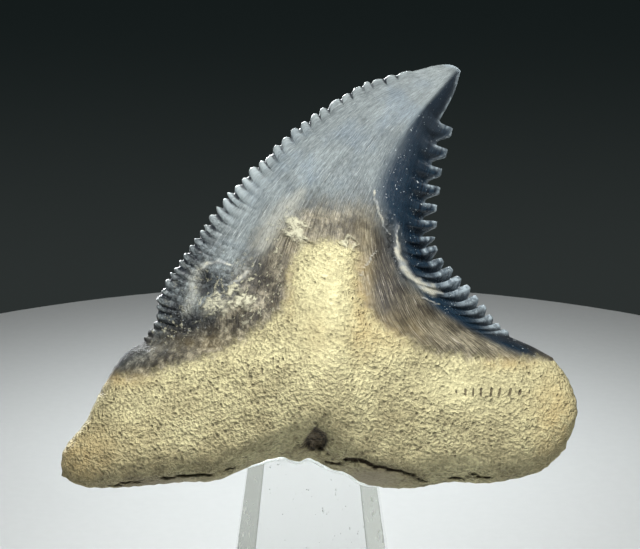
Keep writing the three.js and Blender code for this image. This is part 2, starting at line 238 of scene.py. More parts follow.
# Thickness of the serrated rim, and the relief of its ribs and notches, in millimetres or as a share.
RIM_HALF_THICKNESS = 0.2
RIM_ROUND = 0.26
NOTCH_THINNING = 0.4
INNER_RIB = 0.10
OUTER_RIB = 0.08
RIB_INSET = 0.3

# Relief of the inner face's details, in millimetres.
LIP_RELIEF = 0.22
SCAR_RELIEF = 0.10
CRUST_RELIEF = 0.14
JUNCTION_GROOVE = 0.15
GROOVE_WIDTH = 0.3
SUNK_DEPTH = 0.35
FORAMEN_DEPTH = 0.7
SIDE_PIT_DEPTH = 0.3
CRACK_DEPTH = 0.5

# Waviness: (wavelength, amount) along the root's rim, lumps as (frequency, share), how far the lumps stand
# out on enamel, on bone and more on clean bone, and the depth of the tooth from which they are full.
RIM_WANDER = (0.9, 0.03)
LUMPS = [(0.8, 1.0), (1.9, 0.7), (4.1, 0.4)]
ENAMEL_LUMPS = 0.008
BONE_LUMPS = 0.07
CLEAN_BONE_LUMPS = 0.06
LUMP_INSET = 0.8
WRINKLE_SLANT = math.radians(24)

# Rows and columns of each face of the tooth, and the distance over which a border's mark goes from 0 to 1.
ROOT_ROWS = 60
ROWS_PER_SERRATION = 7
POINT_ROWS = 16
COLUMNS = 138
MASK_REACH = 4.0

# Vectors that streaks and grain are placed by: their width across the tooth in millimetres, and how far those
# of the outer face are shifted so that its pattern differs.
FLOW_WIDTH = 34.0
OUTER_SHIFT = 9.0

# How far the dark facet of the outer face stays from the line of the inner one.
OUTER_FACET_INSET = 2.2

# Colours of small features, apart from those in the settings.
FLAKE_COLOUR = (0.22, 0.19, 0.135)
HOLE_DARK = (0.022, 0.016, 0.009)
HOLE_BROWN = (0.11, 0.086, 0.052)
PALE_FIBRE = (0.215, 0.195, 0.138)
WISP_COLOUR = (0.40, 0.37, 0.31)
COLD_TINT = (0.135, 0.172, 0.205)
SCRATCH_COLOUR = (0.44, 0.47, 0.46)
TIP_SHEEN_COLOUR = (0.38, 0.42, 0.42)
GLOOM_COLOUR = (0.011, 0.013, 0.015)
VEIL_COLOUR = (0.33, 0.34, 0.30)
# The fine serrations' painted highlight, and the painted shade in the notches between serrations.
RIB_HIGHLIGHT_COLOUR = (0.32, 0.37, 0.38)
NOTCH_SHADE_COLOUR = (0.008, 0.012, 0.017)
FACET_BLACK = (0.004, 0.008, 0.014)
FACET_STREAK = (0.013, 0.034, 0.056)
HEEL_COLOUR = (0.008, 0.010, 0.012)
THUMB_AND_HIGHLIGHT_COLOUR = (0.36, 0.43, 0.47)
SPECK_AND_GLINT_COLOUR = (0.42, 0.46, 0.47)
SCAR_GREY = (0.27, 0.29, 0.29)
SCAR_CREAM = (0.44, 0.43, 0.35)
BUMP_DEPTH = 0.21 * MM

# The post in the tooth's own frame, in millimetres: the gap under the root that marks the seat, and how far
# back the seat reaches. Its materials are numbered in this order.
SEAT_GAP = (0.1, 0.5)
SEAT_BACK = 2.4
MILLED_BACK = 2.6
CLEAR, SAWN, PAINTED_DARK_EDGES, SANDED, MILLED = range(5)
CLEAR_SPECKS = (0.42, 0.43, 0.41)
SAWN_SPECKS = (0.55, 0.56, 0.50)
# The upright rounds are tinted dark as painted refraction, for the dark lines that the post's edges show.
DARK_EDGE_TINT = (0.25, 0.26, 0.24)
DARK_EDGE_SPECKS = (0.06, 0.06, 0.05)
SANDED_COLOUR = (0.86, 0.88, 0.87)
MILLED_TINT = (0.78, 0.81, 0.80)
MILLED_SPECKS = (0.6, 0.62, 0.6)

# Width of the oval floor over its length.
FLOOR_ASPECT = 0.62


def length_property(name, description, default):
    """A length that a user may change."""
    return FloatProperty(name=name, description=description, default=default, unit="LENGTH")


def angle_property(name, description, default):
    """An angle that a user may change."""
    return FloatProperty(name=name, description=description, default=default, subtype="ANGLE")


def colour_property(name, description, default):
    """A colour that a user may change."""
    return FloatVectorProperty(name=name, description=description, default=default, subtype="COLOR")


class ToothSettings(bpy.types.PropertyGroup):
    """Sizes and colours of the tooth."""

    seat_height: length_property("Seat height", "Height of the root's base above the floor", 32 * MM)
    lean: angle_property("Lean", "How far the tooth leans back in its seat", math.radians(12))
    setback: length_property(
        "Setback", "Place of the cutting edges' plane across the post, at the root's base", -3.6 * MM)
    mesial_height: length_property("Mesial serrations", "How far the fine serrations stand out", 0.38 * MM)
    distal_height: length_property("Distal serrations", "How far the coarse serrations stand out", 1.1 * MM)
    inner_rounding: length_property("Inner rounding", "Rounding of the base towards the inner face", 3 * MM)
    outer_rounding: length_property("Outer rounding", "Rounding of the base towards the outer face", 1.4 * MM)
    point_bend: length_property("Point bend", "How far the point bends towards the inner face", 0.8 * MM)
    bone: colour_property("Bone", "Colour of the root's clean bone", (0.51, 0.475, 0.275))
    # Shaded bone is also the painted shade that darkens the root towards its base.
    bone_shade: colour_property("Shaded bone", "Colour of the root's browner patches", (0.160, 0.130, 0.066))
    ochre: colour_property("Ochre", "Colour of the rusty stains", (0.36, 0.275, 0.125))
    pit: colour_property("Pits", "Colour in pits, slits and cracks", (0.050, 0.036, 0.020))
    enamel: colour_property("Enamel", "Colour of the pale blade", (0.195, 0.226, 0.230))
    enamel_shade: colour_property("Grey enamel", "Colour of the blade's greyer streaks", (0.12, 0.14, 0.146))
    navy: colour_property("Navy", "Colour of the dark facet", (0.006, 0.019, 0.036))
    brown: colour_property("Brown", "Colour of the band above the root", (0.052, 0.044, 0.028))
    umber: colour_property("Umber", "Colour of the band's darkest streaks", (0.018, 0.015, 0.011))
    deposit: colour_property("Deposit", "Colour of the cream crust on the enamel", (0.42, 0.41, 0.30))


class StandSettings(bpy.types.PropertyGroup):
    """Finish of the clear post."""

    edge_round: length_property("Edge round", "Width of the worn round on the post's edges", 0.16 * MM)
    seat_lift: length_property("Seat lift", "How far the seat rises to meet the root", 0.2 * MM)
    index: FloatProperty(
        name="Index", description="Index of refraction of acrylic", default=1.49, min=1.0, max=2.0)
    haze: FloatProperty(
        name="Haze", description="Roughness of the sawn chamfers", default=0.22, min=0.0, max=1.0,
        subtype="FACTOR")
    clear: colour_property("Clear", "Tint of the polished faces", (0.985, 0.995, 0.99))
    dusty: colour_property("Dusty", "Tint of the sawn chamfers", (0.60, 0.62, 0.55))


class StageSettings(bpy.types.PropertyGroup):
    """Floor, light and camera."""

    floor_radius: length_property("Floor radius", "Half-length of the pale oval floor", 0.165)
    floor_colour: colour_property("Floor", "Colour of the floor", (0.50, 0.52, 0.52))
    backdrop: colour_property("Backdrop", "Colour behind the floor", (0.0075, 0.011, 0.011))
    glow: colour_property("Glow", "Colour just above the floor's far edge", (0.025, 0.030, 0.029))
    distance: length_property("Distance", "Camera's distance from the tooth", VIEW_DISTANCE * MM)
    elevation: angle_property("Elevation", "Camera's height above the horizon", math.radians(15))
    pixels_per_mm: FloatProperty(
        name="Pixels per millimetre", description="Scale of the picture at the tooth", default=15.0)
    image_width: IntProperty(
        name="Image width", description="Width of the picture in pixels", default=640, subtype="PIXEL")


def smooth_curve(knots, samples=600):
    """Evenly spaced points of a smooth curve through the knots, and the curve's length."""
    knots = np.array(knots, dtype=float)
    times = np.concatenate([[0.0], np.cumsum(np.linalg.norm(np.diff(knots, axis=0), axis=1) ** 0.5)])
    slopes = np.gradient(knots, times, axis=0)
    moments = np.linspace(0.0, times[-1], samples * 2)
    stretch = np.clip(np.searchsorted(times, moments, side="right") - 1, 0, len(times) - 2)
    span = (times[stretch + 1] - times[stretch])[:, None]
    part = (moments - times[stretch])[:, None] / span
    rise = part * part * (3 - 2 * part)
    dense = knots[stretch] * (1 - rise) + knots[stretch + 1] * rise
    dense += slopes[stretch] * span * part * (1 - part) ** 2
    dense -= slopes[stretch + 1] * span * part * part * (1 - part)
    run = np.concatenate([[0.0], np.cumsum(np.linalg.norm(np.diff(dense, axis=0), axis=1))])
    even = np.linspace(0.0, run[-1], samples)
    return np.column_stack([np.interp(even, run, dense[:, axis]) for axis in (0, 1)]), run[-1]


def along_curve(points, fraction):
    """Points at the given fractions of a curve's length."""
    steps = np.linspace(0.0, 1.0, len(points))
    return np.column_stack([np.interp(fraction, steps, points[:, axis]) for axis in (0, 1)])


def directions_along(points, fraction):
    """Unit directions of a curve at the given fractions of its length."""
    tangents = along_curve(np.gradient(points, axis=0), fraction)
    return tangents / np.linalg.norm(tangents, axis=1, keepdims=True)


def smooth_step(low, high, value):
    """0 below low, 1 above high, and a smooth rise between."""
    part = np.clip((value - low) / (high - low), 0.0, 1.0)
    return part * part * (3 - 2 * part)


def fade(distance, reach):
    """1 at no distance, fading to 0 at about twice the reach."""
    return np.exp(-(distance / reach) ** 2)


def station_values(stations, places):
    """Values at the given places, smoothly between (place, value) stations."""
    stations = np.array(stations, dtype=float)
    fine = np.linspace(stations[0, 0], stations[-1, 0], 601)
    values = np.interp(fine, stations[:, 0], stations[:, 1])
    padded = np.pad(values, 20, mode="edge")
    values = np.convolve(padded, np.full(41, 1 / 41), mode="valid")
    values[-1] = stations[-1, 1]
    return np.interp(places, fine, values)


def mound(place, x, z, depth, half_width, half_height):
    """A smooth mound, or a hollow where the depth is negative."""
    across = (place[..., 0] - x) / half_width
    along = (place[..., 1] - z) / half_height
    return depth * np.exp(-0.5 * (across ** 2 + along ** 2))


def heap(place, mounds):
    """Sum of a list of mounds."""
    return sum(mound(place, *values) for values in mounds)


def patch(place, mounds):
    """A list of mounds as a mark from 0 to 1."""
    return np.clip(heap(place, mounds), 0, 1)


def distance_to_path(place, path):
    """Distance from every place to a path of straight stretches."""
    nearest = np.full(place.shape[:-1], np.inf)
    path = np.array(path, dtype=float)
    for start, end in zip(path[:-1], path[1:]):
        along = end - start
        part = np.clip(((place - start) @ along) / (along @ along), 0.0, 1.0)
        nearest = np.minimum(nearest, np.linalg.norm(place - start - part[..., None] * along, axis=-1))
    return nearest


def stroke(place, knots):
    """1 along a line of (x, z, half-width) knots, fading to 0 over about its half-width."""
    shade = np.zeros(place.shape[:-1])
    knots = np.array(knots, dtype=float)
    for start, end in zip(knots[:-1], knots[1:]):
        along = (end - start)[:2]
        part = np.clip(((place - start[:2]) @ along) / (along @ along), 0.0, 1.0)
        gap = np.linalg.norm(place - start[:2] - part[..., None] * along, axis=-1)
        shade = np.maximum(shade, fade(gap, start[2] + part * (end[2] - start[2])))
    return shade


def strokes(place, lines):
    """Sum of several strokes."""
    return sum(stroke(place, line) for line in lines)


def ring(place, x, z, radius, half_width):
    """1 around a ring, fading to 0 over its half-width."""
    gap = np.hypot(place[..., 0] - x, place[..., 1] - z) - radius
    return fade(gap, half_width)


def wander(place, wavelength, amount):
    """Places moved a little to and fro, so that a line drawn on them is ragged."""
    turns = place * (2 * math.pi / wavelength)
    across = np.sin(turns[..., 1] + 2.0 * np.sin(0.7 * turns[..., 0]))
    along = np.sin(turns[..., 0] + 2.0 * np.sin(0.6 * turns[..., 1]) + 1.3)
    return place + amount * np.stack([across, along], axis=-1)


def chipped(place):
    """Places moved so that lines drawn on them are finely ragged."""
    return wander(wander(place, 1.3, 0.06), 0.55, 0.03)


def torn(place):
    """Places moved so that round patches drawn on them are torn and uneven."""
    return wander(wander(place, 1.1, 0.16), 0.5, 0.08)


def side_of_line(place, line, key=0):
    """Distance to a line, positive above it (key 0, a line that runs across) or to its right (key 1)."""
    line = smooth_curve(line, 200)[0]
    order = np.argsort(line[:, key])
    other = np.interp(place[..., key], line[order, key], line[order, 1 - key])
    return np.sign(place[..., 1 - key] - other) * distance_to_path(place, line[::4])


def as_mask(distance):
    """A signed distance as a value from 0 to 1, with the line itself at one half."""
    return np.clip(0.5 + distance / MASK_REACH, 0.0, 1.0)


def inside_outline(place, corners):
    """Distance inside a convex outline given anticlockwise, negative outside."""
    corners = np.array(corners, dtype=float)
    depth = np.full(place.shape[:-1], np.inf)
    for start, end in zip(corners, np.roll(corners, -1, axis=0)):
        along = (end - start) / np.linalg.norm(end - start)
        offset = place - start
        depth = np.minimum(depth, along[0] * offset[..., 1] - along[1] * offset[..., 0])
    return depth


def mesial_swell(number, bluntness):
    """How far each mesial serration stands out, steeper on its side towards the root."""
    phase = number - np.floor(number)
    finger = 1 - np.abs(2 * phase ** 0.8 - 1) ** 1.5
    scallop = 1 - np.abs(2 * phase - 1) ** 2.6
    return finger * (1 - bluntness) + scallop * bluntness


def distal_swell(number):
    """How far each thumb-like distal serration stands out, flat-topped between U-shaped notches."""
    phase = number - np.floor(number)
    return smooth_step(0.14, 0.40, phase) * (1 - smooth_step(0.76, 0.97, phase))


def on_edge(values, rest=0.0):
    """Values of the serrated rows, with a resting value on the rows of the root and of the point."""
    return np.concatenate([np.full(ROOT_ROWS, rest), values, np.full(POINT_ROWS, rest)])


def tooth_rows(settings):
    """Ends of every row of the tooth's surface, from the base of the root to the point."""
    edge_rows = MESIAL_COUNT * ROWS_PER_SERRATION
    root = (np.arange(ROOT_ROWS) / ROOT_ROWS) ** 1.35
    number = np.arange(edge_rows + 1) / ROWS_PER_SERRATION
    uneven = number + 0.16 * np.sin(number * 2.1) * np.sin(number * 0.83 + 1.0)
    uneven = np.clip(uneven, 0, MESIAL_COUNT - 1e-6)
    edge = (MESIAL_GROWTH ** number - 1) / (MESIAL_GROWTH ** MESIAL_COUNT - 1)
    point = np.arange(1, POINT_ROWS + 1) / POINT_ROWS
    rows = {"level": np.concatenate([root - 1, edge, 1 + point])}
    sides = {
        "left": (MESIAL_ROOT, MESIAL_EDGE, MESIAL_POINT), "right": (DISTAL_ROOT, DISTAL_EDGE, DISTAL_POINT),
    }
    for side, lines in sides.items():
        curves = [smooth_curve(line)[0] for line in lines]
        parts = list(zip(curves, (root, edge, point)))
        rows[side] = np.vstack([along_curve(curve, part) for curve, part in parts])
        rows[side + "_way"] = np.vstack([directions_along(curve, part) for curve, part in parts])
    chance = np.random.default_rng(SERRATION_SEED)
    fine = chance.uniform(0.65, 1.2, MESIAL_COUNT)
    fine[CHIPPED_MESIAL] = CHIPPED_SIZE
    coarse = chance.uniform(0.85, 1.1, DISTAL_COUNT)
    reach = chance.uniform(0.5, 1.4, MESIAL_COUNT)
    turn = chance.uniform(0.0, 0.5, MESIAL_COUNT)
    grown = (0.5 + 0.5 * smooth_step(0, 0.3, edge)) * (1 - 0.45 * smooth_step(0.65, 1, edge))
    length = smooth_curve(DISTAL_EDGE)[1]
    span = DISTAL_FIRST_PITCH * (DISTAL_GROWTH ** DISTAL_COUNT - 1) / (DISTAL_GROWTH - 1)
    run = np.maximum(edge * length - (length - span), 0.0)
    distal_number = np.log(1 + run * (DISTAL_GROWTH - 1) / DISTAL_FIRST_PITCH) / math.log(DISTAL_GROWTH)
    bold = 0.15 + 0.85 * smooth_step(0.08, 0.42, edge)
    mesial = mesial_swell(uneven, smooth_step(0.42, 0.62, edge))
    distal = distal_swell(np.minimum(distal_number, DISTAL_COUNT - 1e-6))
    rows["left_crest"] = on_edge(mesial)
    rows["right_crest"] = on_edge(distal)
    which = np.floor(uneven).astype(int)
    mesial = mesial * fine[which] * grown
    distal = distal * coarse[np.minimum(np.floor(distal_number).astype(int), DISTAL_COUNT - 1)] * bold
    rows["left_reach"] = on_edge(reach[which], 1.0)
    left_way, right_way = rows["left_way"], rows["right_way"]
    out_left = np.column_stack([-left_way[:, 1], left_way[:, 0]]) + on_edge(turn[which])[:, None] * left_way
    out_right = np.column_stack([right_way[:, 1], -right_way[:, 0]]) + DISTAL_HOOK * right_way
    hooked = HOOK_RISE * smooth_step(0, 0.12, edge) * (1 - smooth_step(0.8, 1, edge))
    rows["left_lift"] = left_way * on_edge(hooked)[:, None]
    rows["left_step"] = out_left * (on_edge(mesial) * settings.mesial_height / MM)[:, None]
    stand_out = 0.22 * on_edge(bold) + 0.78 * on_edge(distal)
    rows["right_step"] = out_right * (stand_out * settings.distal_height / MM)[:, None]
    return rows


def distance_to_rim(place, rows):
    """Distance from every place to the outline of the two sides, serrations and all."""
    left = rows["left"] + rows["left_lift"] + rows["left_step"]
    rim = np.vstack([left, rows["right"] + rows["right_step"]])
    return np.array([np.linalg.norm(line[:, None] - rim[None], axis=-1).min(axis=1) for line in place])


def column_places():
    """Fractions across the tooth, closer together at the two edges and in the middle of the root."""
    fine = np.linspace(0.0, 1.0, 2001)
    density = 1 + 2.2 * fade(fine, 0.06) + 2.2 * fade(1 - fine, 0.06) + 1.3 * fade(fine - 0.49, 0.04)
    run = np.concatenate([[0.0], np.cumsum((density[1:] + density[:-1]) / 2)])
    return np.interp(np.linspace(0.0, run[-1], COLUMNS + 1), run, fine)


def cross_section(across, crest, sharpness):
    """Height of the section from edge to edge: sharpness 1 is a lens, and less is rounder."""
    before = (across / crest) ** (2 * sharpness * crest)
    after = ((1 - across) / (1 - crest)) ** (2 * sharpness * (1 - crest))
    return before * after


def round_over(height, radius):
    """Quarter-round profile from 0 at the rim to 1 at a radius above it."""
    rise = np.clip(height / radius, 0.0, 1.0)
    return np.sqrt(rise * (2 - rise))


def seen_from_front(place, depth):
    """Where places at a depth show from in front, looked at from VIEW_DISTANCE and a little from above."""
    nearer = 1 - depth / VIEW_DISTANCE
    x = VIEW_MIDDLE[0] + (place[..., 0] - VIEW_MIDDLE[0]) / nearer
    z = VIEW_MIDDLE[1] + (place[..., 1] - VIEW_MIDDLE[1] - depth * math.tan(VIEW_TILT)) / nearer
    return np.stack([x, z], axis=-1)


def surface_places(rows, across):
    """Places of the sheets in the plane of the cutting edges, and their distances from the two edges."""
    span = rows["right"] - rows["left"]
    width = np.linalg.norm(span, axis=1)
    way = span / np.maximum(width, 1e-9)[:, None]
    lean_left = np.abs(way[:, 0] * rows["left_way"][:, 1] - way[:, 1] * rows["left_way"][:, 0])
    lean_right = np.abs(way[:, 0] * rows["right_way"][:, 1] - way[:, 1] * rows["right_way"][:, 0])
    from_left = across * (width * lean_left)[:, None]
    from_right = (1 - across) * (width * lean_right)[:, None]
    place = rows["left"][:, None, :] + across[..., None] * span[:, None, :]
    fade_left = np.exp(-(from_left / MESIAL_REACH) ** STEP_FADE)
    fade_right = np.exp(-(from_right / DISTAL_REACH) ** STEP_FADE)
    place = place + np.exp(-from_left / HOOK_REACH)[..., None] * rows["left_lift"][:, None, :]
    place = place + fade_left[..., None] * rows["left_step"][:, None, :]
    place = place + fade_right[..., None] * rows["right_step"][:, None, :]
    return place, from_left, from_right


def serration_forms(rows, level, from_left, from_right):
    """Where the edges are serrated, the ribs running in from the serrations, and the notches between them."""
    serrated = smooth_step(0.0, 0.04, level) * (1 - smooth_step(0.97, 1.05, level))
    uneven = rows["left_reach"][:, None]
    rib_reach = station_values(RIB_REACH, level) * uneven
    notch_reach = station_values(NOTCH_REACH, level) * (1.9 - uneven)
    left_crest, right_crest = rows["left_crest"][:, None], rows["right_crest"][:, None]
    ribs_left = serrated * left_crest * fade(from_left, rib_reach)
    ribs_left = ribs_left * (1 - 0.6 * smooth_step(0.45, 0.7, level))
    ribs_right = serrated * right_crest * fade(from_right, station_values(THUMB_REACH, level))
    notch_left = serrated * (1 - left_crest) * fade(from_left, notch_reach)
    notch_right = serrated * (1 - right_crest) * fade(from_right, DISTAL_NOTCH_REACH)
    notch_right = notch_right * smooth_step(0.08, 0.3, level)
    return {
        "serrated": serrated, "ribs_left": ribs_left, "ribs_right": ribs_right, "right_crest": right_crest,
        "notches": np.clip(notch_left + notch_right, 0, 1),
    }


def edge_marks(forms, level, to_rim, from_left, from_right):
    """Where the colours lie that follow the two edges and the point, on both faces."""
    left_heel = smooth_step(-0.5, -0.3, level) * (1 - smooth_step(0.0, 0.1, level))
    left_heel = left_heel * fade(from_left, MESIAL_HEEL_REACH)
    right_heel = smooth_step(-0.12, 0.0, level) * (1 - smooth_step(0.25, 0.4, level))
    right_heel = right_heel * fade(from_right, DISTAL_HEEL_REACH)
    shore = (1 - smooth_step(0.22, 0.45, level)) * smooth_step(-0.05, 0.03, level)
    shore = shore * fade(from_left, SHORE_REACH)
    high = smooth_step(0.38, 0.5, level)
    # Painted highlights along the rims of the coarse serrations and, stronger, of the point; the lower thumbs
    # are pale in their own colour.
    rim_highlights = fade(to_rim, RIM_HIGHLIGHT_REACH) * (from_right < 1.2) * high
    thumbs_and_rim_highlights = forms["ribs_right"] * (1 - high) + rim_highlights * (0.35 + 0.65 * forms["right_crest"])
    thumbs_and_rim_highlights = thumbs_and_rim_highlights + 0.9 * rim_highlights * smooth_step(0.98, 1.05, level)
    return {
        "rib_highlight": np.clip(forms["ribs_left"], 0, 1), "notch_shade": forms["notches"], "thumb": np.clip(thumbs_and_rim_highlights, 0, 1),
        "heel": np.clip(left_heel + right_heel, 0, 1), "shore": np.clip(shore, 0, 1),
        "tip": np.broadcast_to(smooth_step(0.75, 1.3, level), to_rim.shape),
        "black": fade(from_right, BLACK_REACH) * smooth_step(0.0, 0.04, level),
    }


def tooth_surface(settings):
    """Places, depths and marks of both faces of the tooth, as arrays of rows by columns."""
    rows = tooth_rows(settings)
    across = column_places()[None, :]
    level = rows["level"][:, None]
    place, from_left, from_right = surface_places(rows, across)
    base = along_curve(smooth_curve(ROOT_BASE)[0], across[0])
    arch = base - (base[0] + across[0][:, None] * (base[-1] - base[0]))
    place = place + np.clip(-level, 0.0, 1.0)[..., None] * arch[None]
    above_base = np.where(level < 0, place[..., 1] - base[None, :, 1], 1e3)
    lumpy = smooth_step(0.0, 0.2, -level)[..., None]
    place = place * (1 - lumpy) + wander(place, *RIM_WANDER) * lumpy

    to_rim = distance_to_rim(place, rows)
    forms = serration_forms(rows, level, from_left, from_right)
    rim = RIM_HALF_THICKNESS * round_over(to_rim, RIM_ROUND) * forms["serrated"]
    thinned = 1 - NOTCH_THINNING * forms["notches"]
    ribs = np.clip(forms["ribs_left"] + forms["ribs_right"], 0, 1)
    ribs = ribs * np.clip(np.minimum(from_left, from_right) / RIB_INSET, 0.0, 1.0)
    inner = inner_depth(place, level, across, above_base, settings)
    inner = np.maximum(inner * thinned, rim) + INNER_RIB * ribs
    outer = outer_depth(level, across, above_base, settings)
    outer = np.maximum(outer * thinned, rim) + OUTER_RIB * ribs

    edges = edge_marks(forms, level, to_rim, from_left, from_right)
    steps = np.linalg.norm(np.diff(place.mean(axis=1), axis=0), axis=1)
    run = np.concatenate([[0.0], np.cumsum(steps)])
    shared = {
        "place": place, "grain": slanting(place),
        "flow": np.stack(np.broadcast_arrays(across * FLOW_WIDTH, run[:, None]), axis=-1),
    }
    return [
        {**shared, "depth": -inner, "marks": {**edges, **inner_marks(seen_from_front(place, inner))}},
        {**shared, "depth": outer, "marks": {**edges, **outer_marks(place)}},
    ]


def slanting(place):
    """Places measured along and across the root's wrinkles, which rise towards its middle on both lobes."""
    outward, up = np.abs(place[..., 0]), place[..., 1]
    along = up * math.sin(WRINKLE_SLANT) - outward * math.cos(WRINKLE_SLANT)
    return np.stack([along, outward * math.sin(WRINKLE_SLANT) + up * math.cos(WRINKLE_SLANT)], axis=-1)


def inner_depth(place, level, across, above_base, settings):
    """How far the inner face stands out of the plane of the cutting edges."""
    crest = station_values(CREST, level)
    lens = cross_section(across, crest, station_values(INNER_SHARPNESS, level))
    keen = np.minimum(across / crest, (1 - across) / (1 - crest))
    keenness = station_values(CREST_KEENNESS, level)
    depth = station_values(INNER_DEPTH, level) * (lens * (1 - keenness) + keen * keenness)
    heaped = heap(place, MOUNDS)
    height = place[..., 1]
    offset = place[..., 0] - station_values(RIDGE_LINE, height)
    width = station_values(RIDGE_WIDTH, height) * np.where(offset > 0, 0.75, 1.0)
    heaped = heaped + station_values(RIDGE_HEIGHT, height) * np.exp(-0.5 * (offset / width) ** 2)
    depth = depth + heaped * cross_section(across, 0.5, 1.0)
    depth = np.maximum(depth, 0.0) * round_over(above_base, settings.inner_rounding / MM)
    seen = seen_from_front(place, depth)
    ragged = chipped(seen)
    groove = fade(side_of_line(ragged, INNER_JUNCTION), GROOVE_WIDTH) * (level < 0.4)
    pits = sum(mound(ragged, x, z, 1.0, 0.14, 0.14) for x, z in SIDE_PITS)
    cracked = strokes(ragged, CRACKS) * np.clip(above_base / 0.25, 0.0, 1.0)
    relief = LIP_RELIEF * stroke(seen, LIP) + SCAR_RELIEF * strokes(seen, SCARS)
    relief = relief + CRUST_RELIEF * crust_places(seen) - JUNCTION_GROOVE * groove
    relief = relief - SUNK_DEPTH * mound(ragged, *SUNK_HOLLOW)
    relief = relief - FORAMEN_DEPTH * smooth_step(-0.2, 0.3, inside_outline(ragged, FORAMEN))
    relief = relief - SIDE_PIT_DEPTH * pits - CRACK_DEPTH * cracked
    inset = np.clip(depth / 0.4, 0.0, 1.0)
    return np.maximum(depth + relief * inset, 0.0)


def outer_depth(level, across, above_base, settings):
    """How far the outer face stands out of the plane of the cutting edges."""
    section = cross_section(across, 0.5, station_values(OUTER_SHARPNESS, level))
    depth = station_values(OUTER_DEPTH, level) * section
    return depth * round_over(above_base, settings.outer_rounding / MM)


def crust_places(seen):
    """Where cream crust lies on the crown, as torn lumps and rings."""
    place = torn(seen)
    return np.clip(heap(place, CRUST_LUMPS) + sum(ring(place, *values) for values in CRUST_RINGS), 0, 1)


def inner_marks(seen):
    """Where the inner face's colours lie."""
    x, z = seen[..., 0], seen[..., 1]
    ragged = chipped(seen)
    mottled = (1 - smooth_step(-2.5, 0.5, x)) * (1 - smooth_step(13.5, 17.5, z))
    crisp = 2.5 * smooth_step(22.5, 25.5, z) + 2.0 * (1 - smooth_step(12.5, 14.5, z))
    cavity = smooth_step(-0.22, 0.12, inside_outline(ragged, FORAMEN))
    cavity = cavity + sum(mound(ragged, *pit, 0.9, 0.13, 0.13) for pit in SIDE_PITS)
    # The bone is painted darker towards the root's base as painted shade; its listed patches add painted
    # light and shade as well as the bone's own patches.
    shade = 0.36 + 0.36 * (1 - smooth_step(0.2, 3.4, z)) + heap(seen, BONE_PATCHES_AND_PAINTED_LIGHT)
    return {
        "enamel_side": as_mask(side_of_line(seen, INNER_JUNCTION)),
        "blade_side": as_mask(side_of_line(seen, INNER_BAND)),
        "facet_side": as_mask(side_of_line(seen, DARK_FACET, key=1) * (1 + crisp)),
        "scar": np.clip(strokes(ragged, [LIP, *SCARS]), 0, 1),
        "veil": np.clip(strokes(seen, VEILS), 0, 1),
        "crack": np.clip(strokes(wander(seen, 1.3, 0.06), CRACKS), 0, 1),
        # The lip's shadow is painted into the same dark mark as the gloom patches.
        "gloom_and_lip_shadow": np.clip(heap(seen, GLOOM) + 0.8 * stroke(seen, LIP_SHADOW), 0, 1),
        "mottled": np.maximum(mottled, heap(seen, MOTTLED_CROWN)),
        "crust": crust_places(seen),
        "flecks": patch(seen, FLECKS),
        "streaky": patch(seen, SCRATCHES),
        "umber": patch(seen, UMBER),
        "stain": patch(seen, STAINS),
        "shade": np.clip(shade, 0, 1),
        "cavity": np.clip(cavity, 0, 1),
        "flake": patch(seen, FLAKES),
        "slits": patch(seen, SLITS),
    }


def outer_marks(place):
    """Where the outer face's colours lie. It has no lip, crust, flake or crack."""
    nothing = np.zeros(place.shape[:-1])
    ragged = wander(wander(place, 5.0, 0.25), 1.7, 0.1)
    bare = ("scar", "veil", "crack", "crust", "flecks", "streaky", "cavity", "flake")
    return {
        **dict.fromkeys(bare, nothing),
        "enamel_side": as_mask(side_of_line(ragged, OUTER_JUNCTION)),
        "blade_side": as_mask(side_of_line(ragged, OUTER_BAND)),
        "facet_side": as_mask(side_of_line(place, DARK_FACET, key=1) - OUTER_FACET_INSET),
        "mottled": nothing + 0.1,
        "gloom_and_lip_shadow": patch(place, OUTER_GLOOM),
        "umber": patch(place, OUTER_UMBER),
        "slits": patch(place, OUTER_SLITS),
        "stain": patch(place, OUTER_STAINS),
        # The outer face's bone is painted darker towards its base, as painted shade.
        "shade": 0.5 + 0.35 * (1 - smooth_step(0.2, 3.0, place[..., 1])),
    }


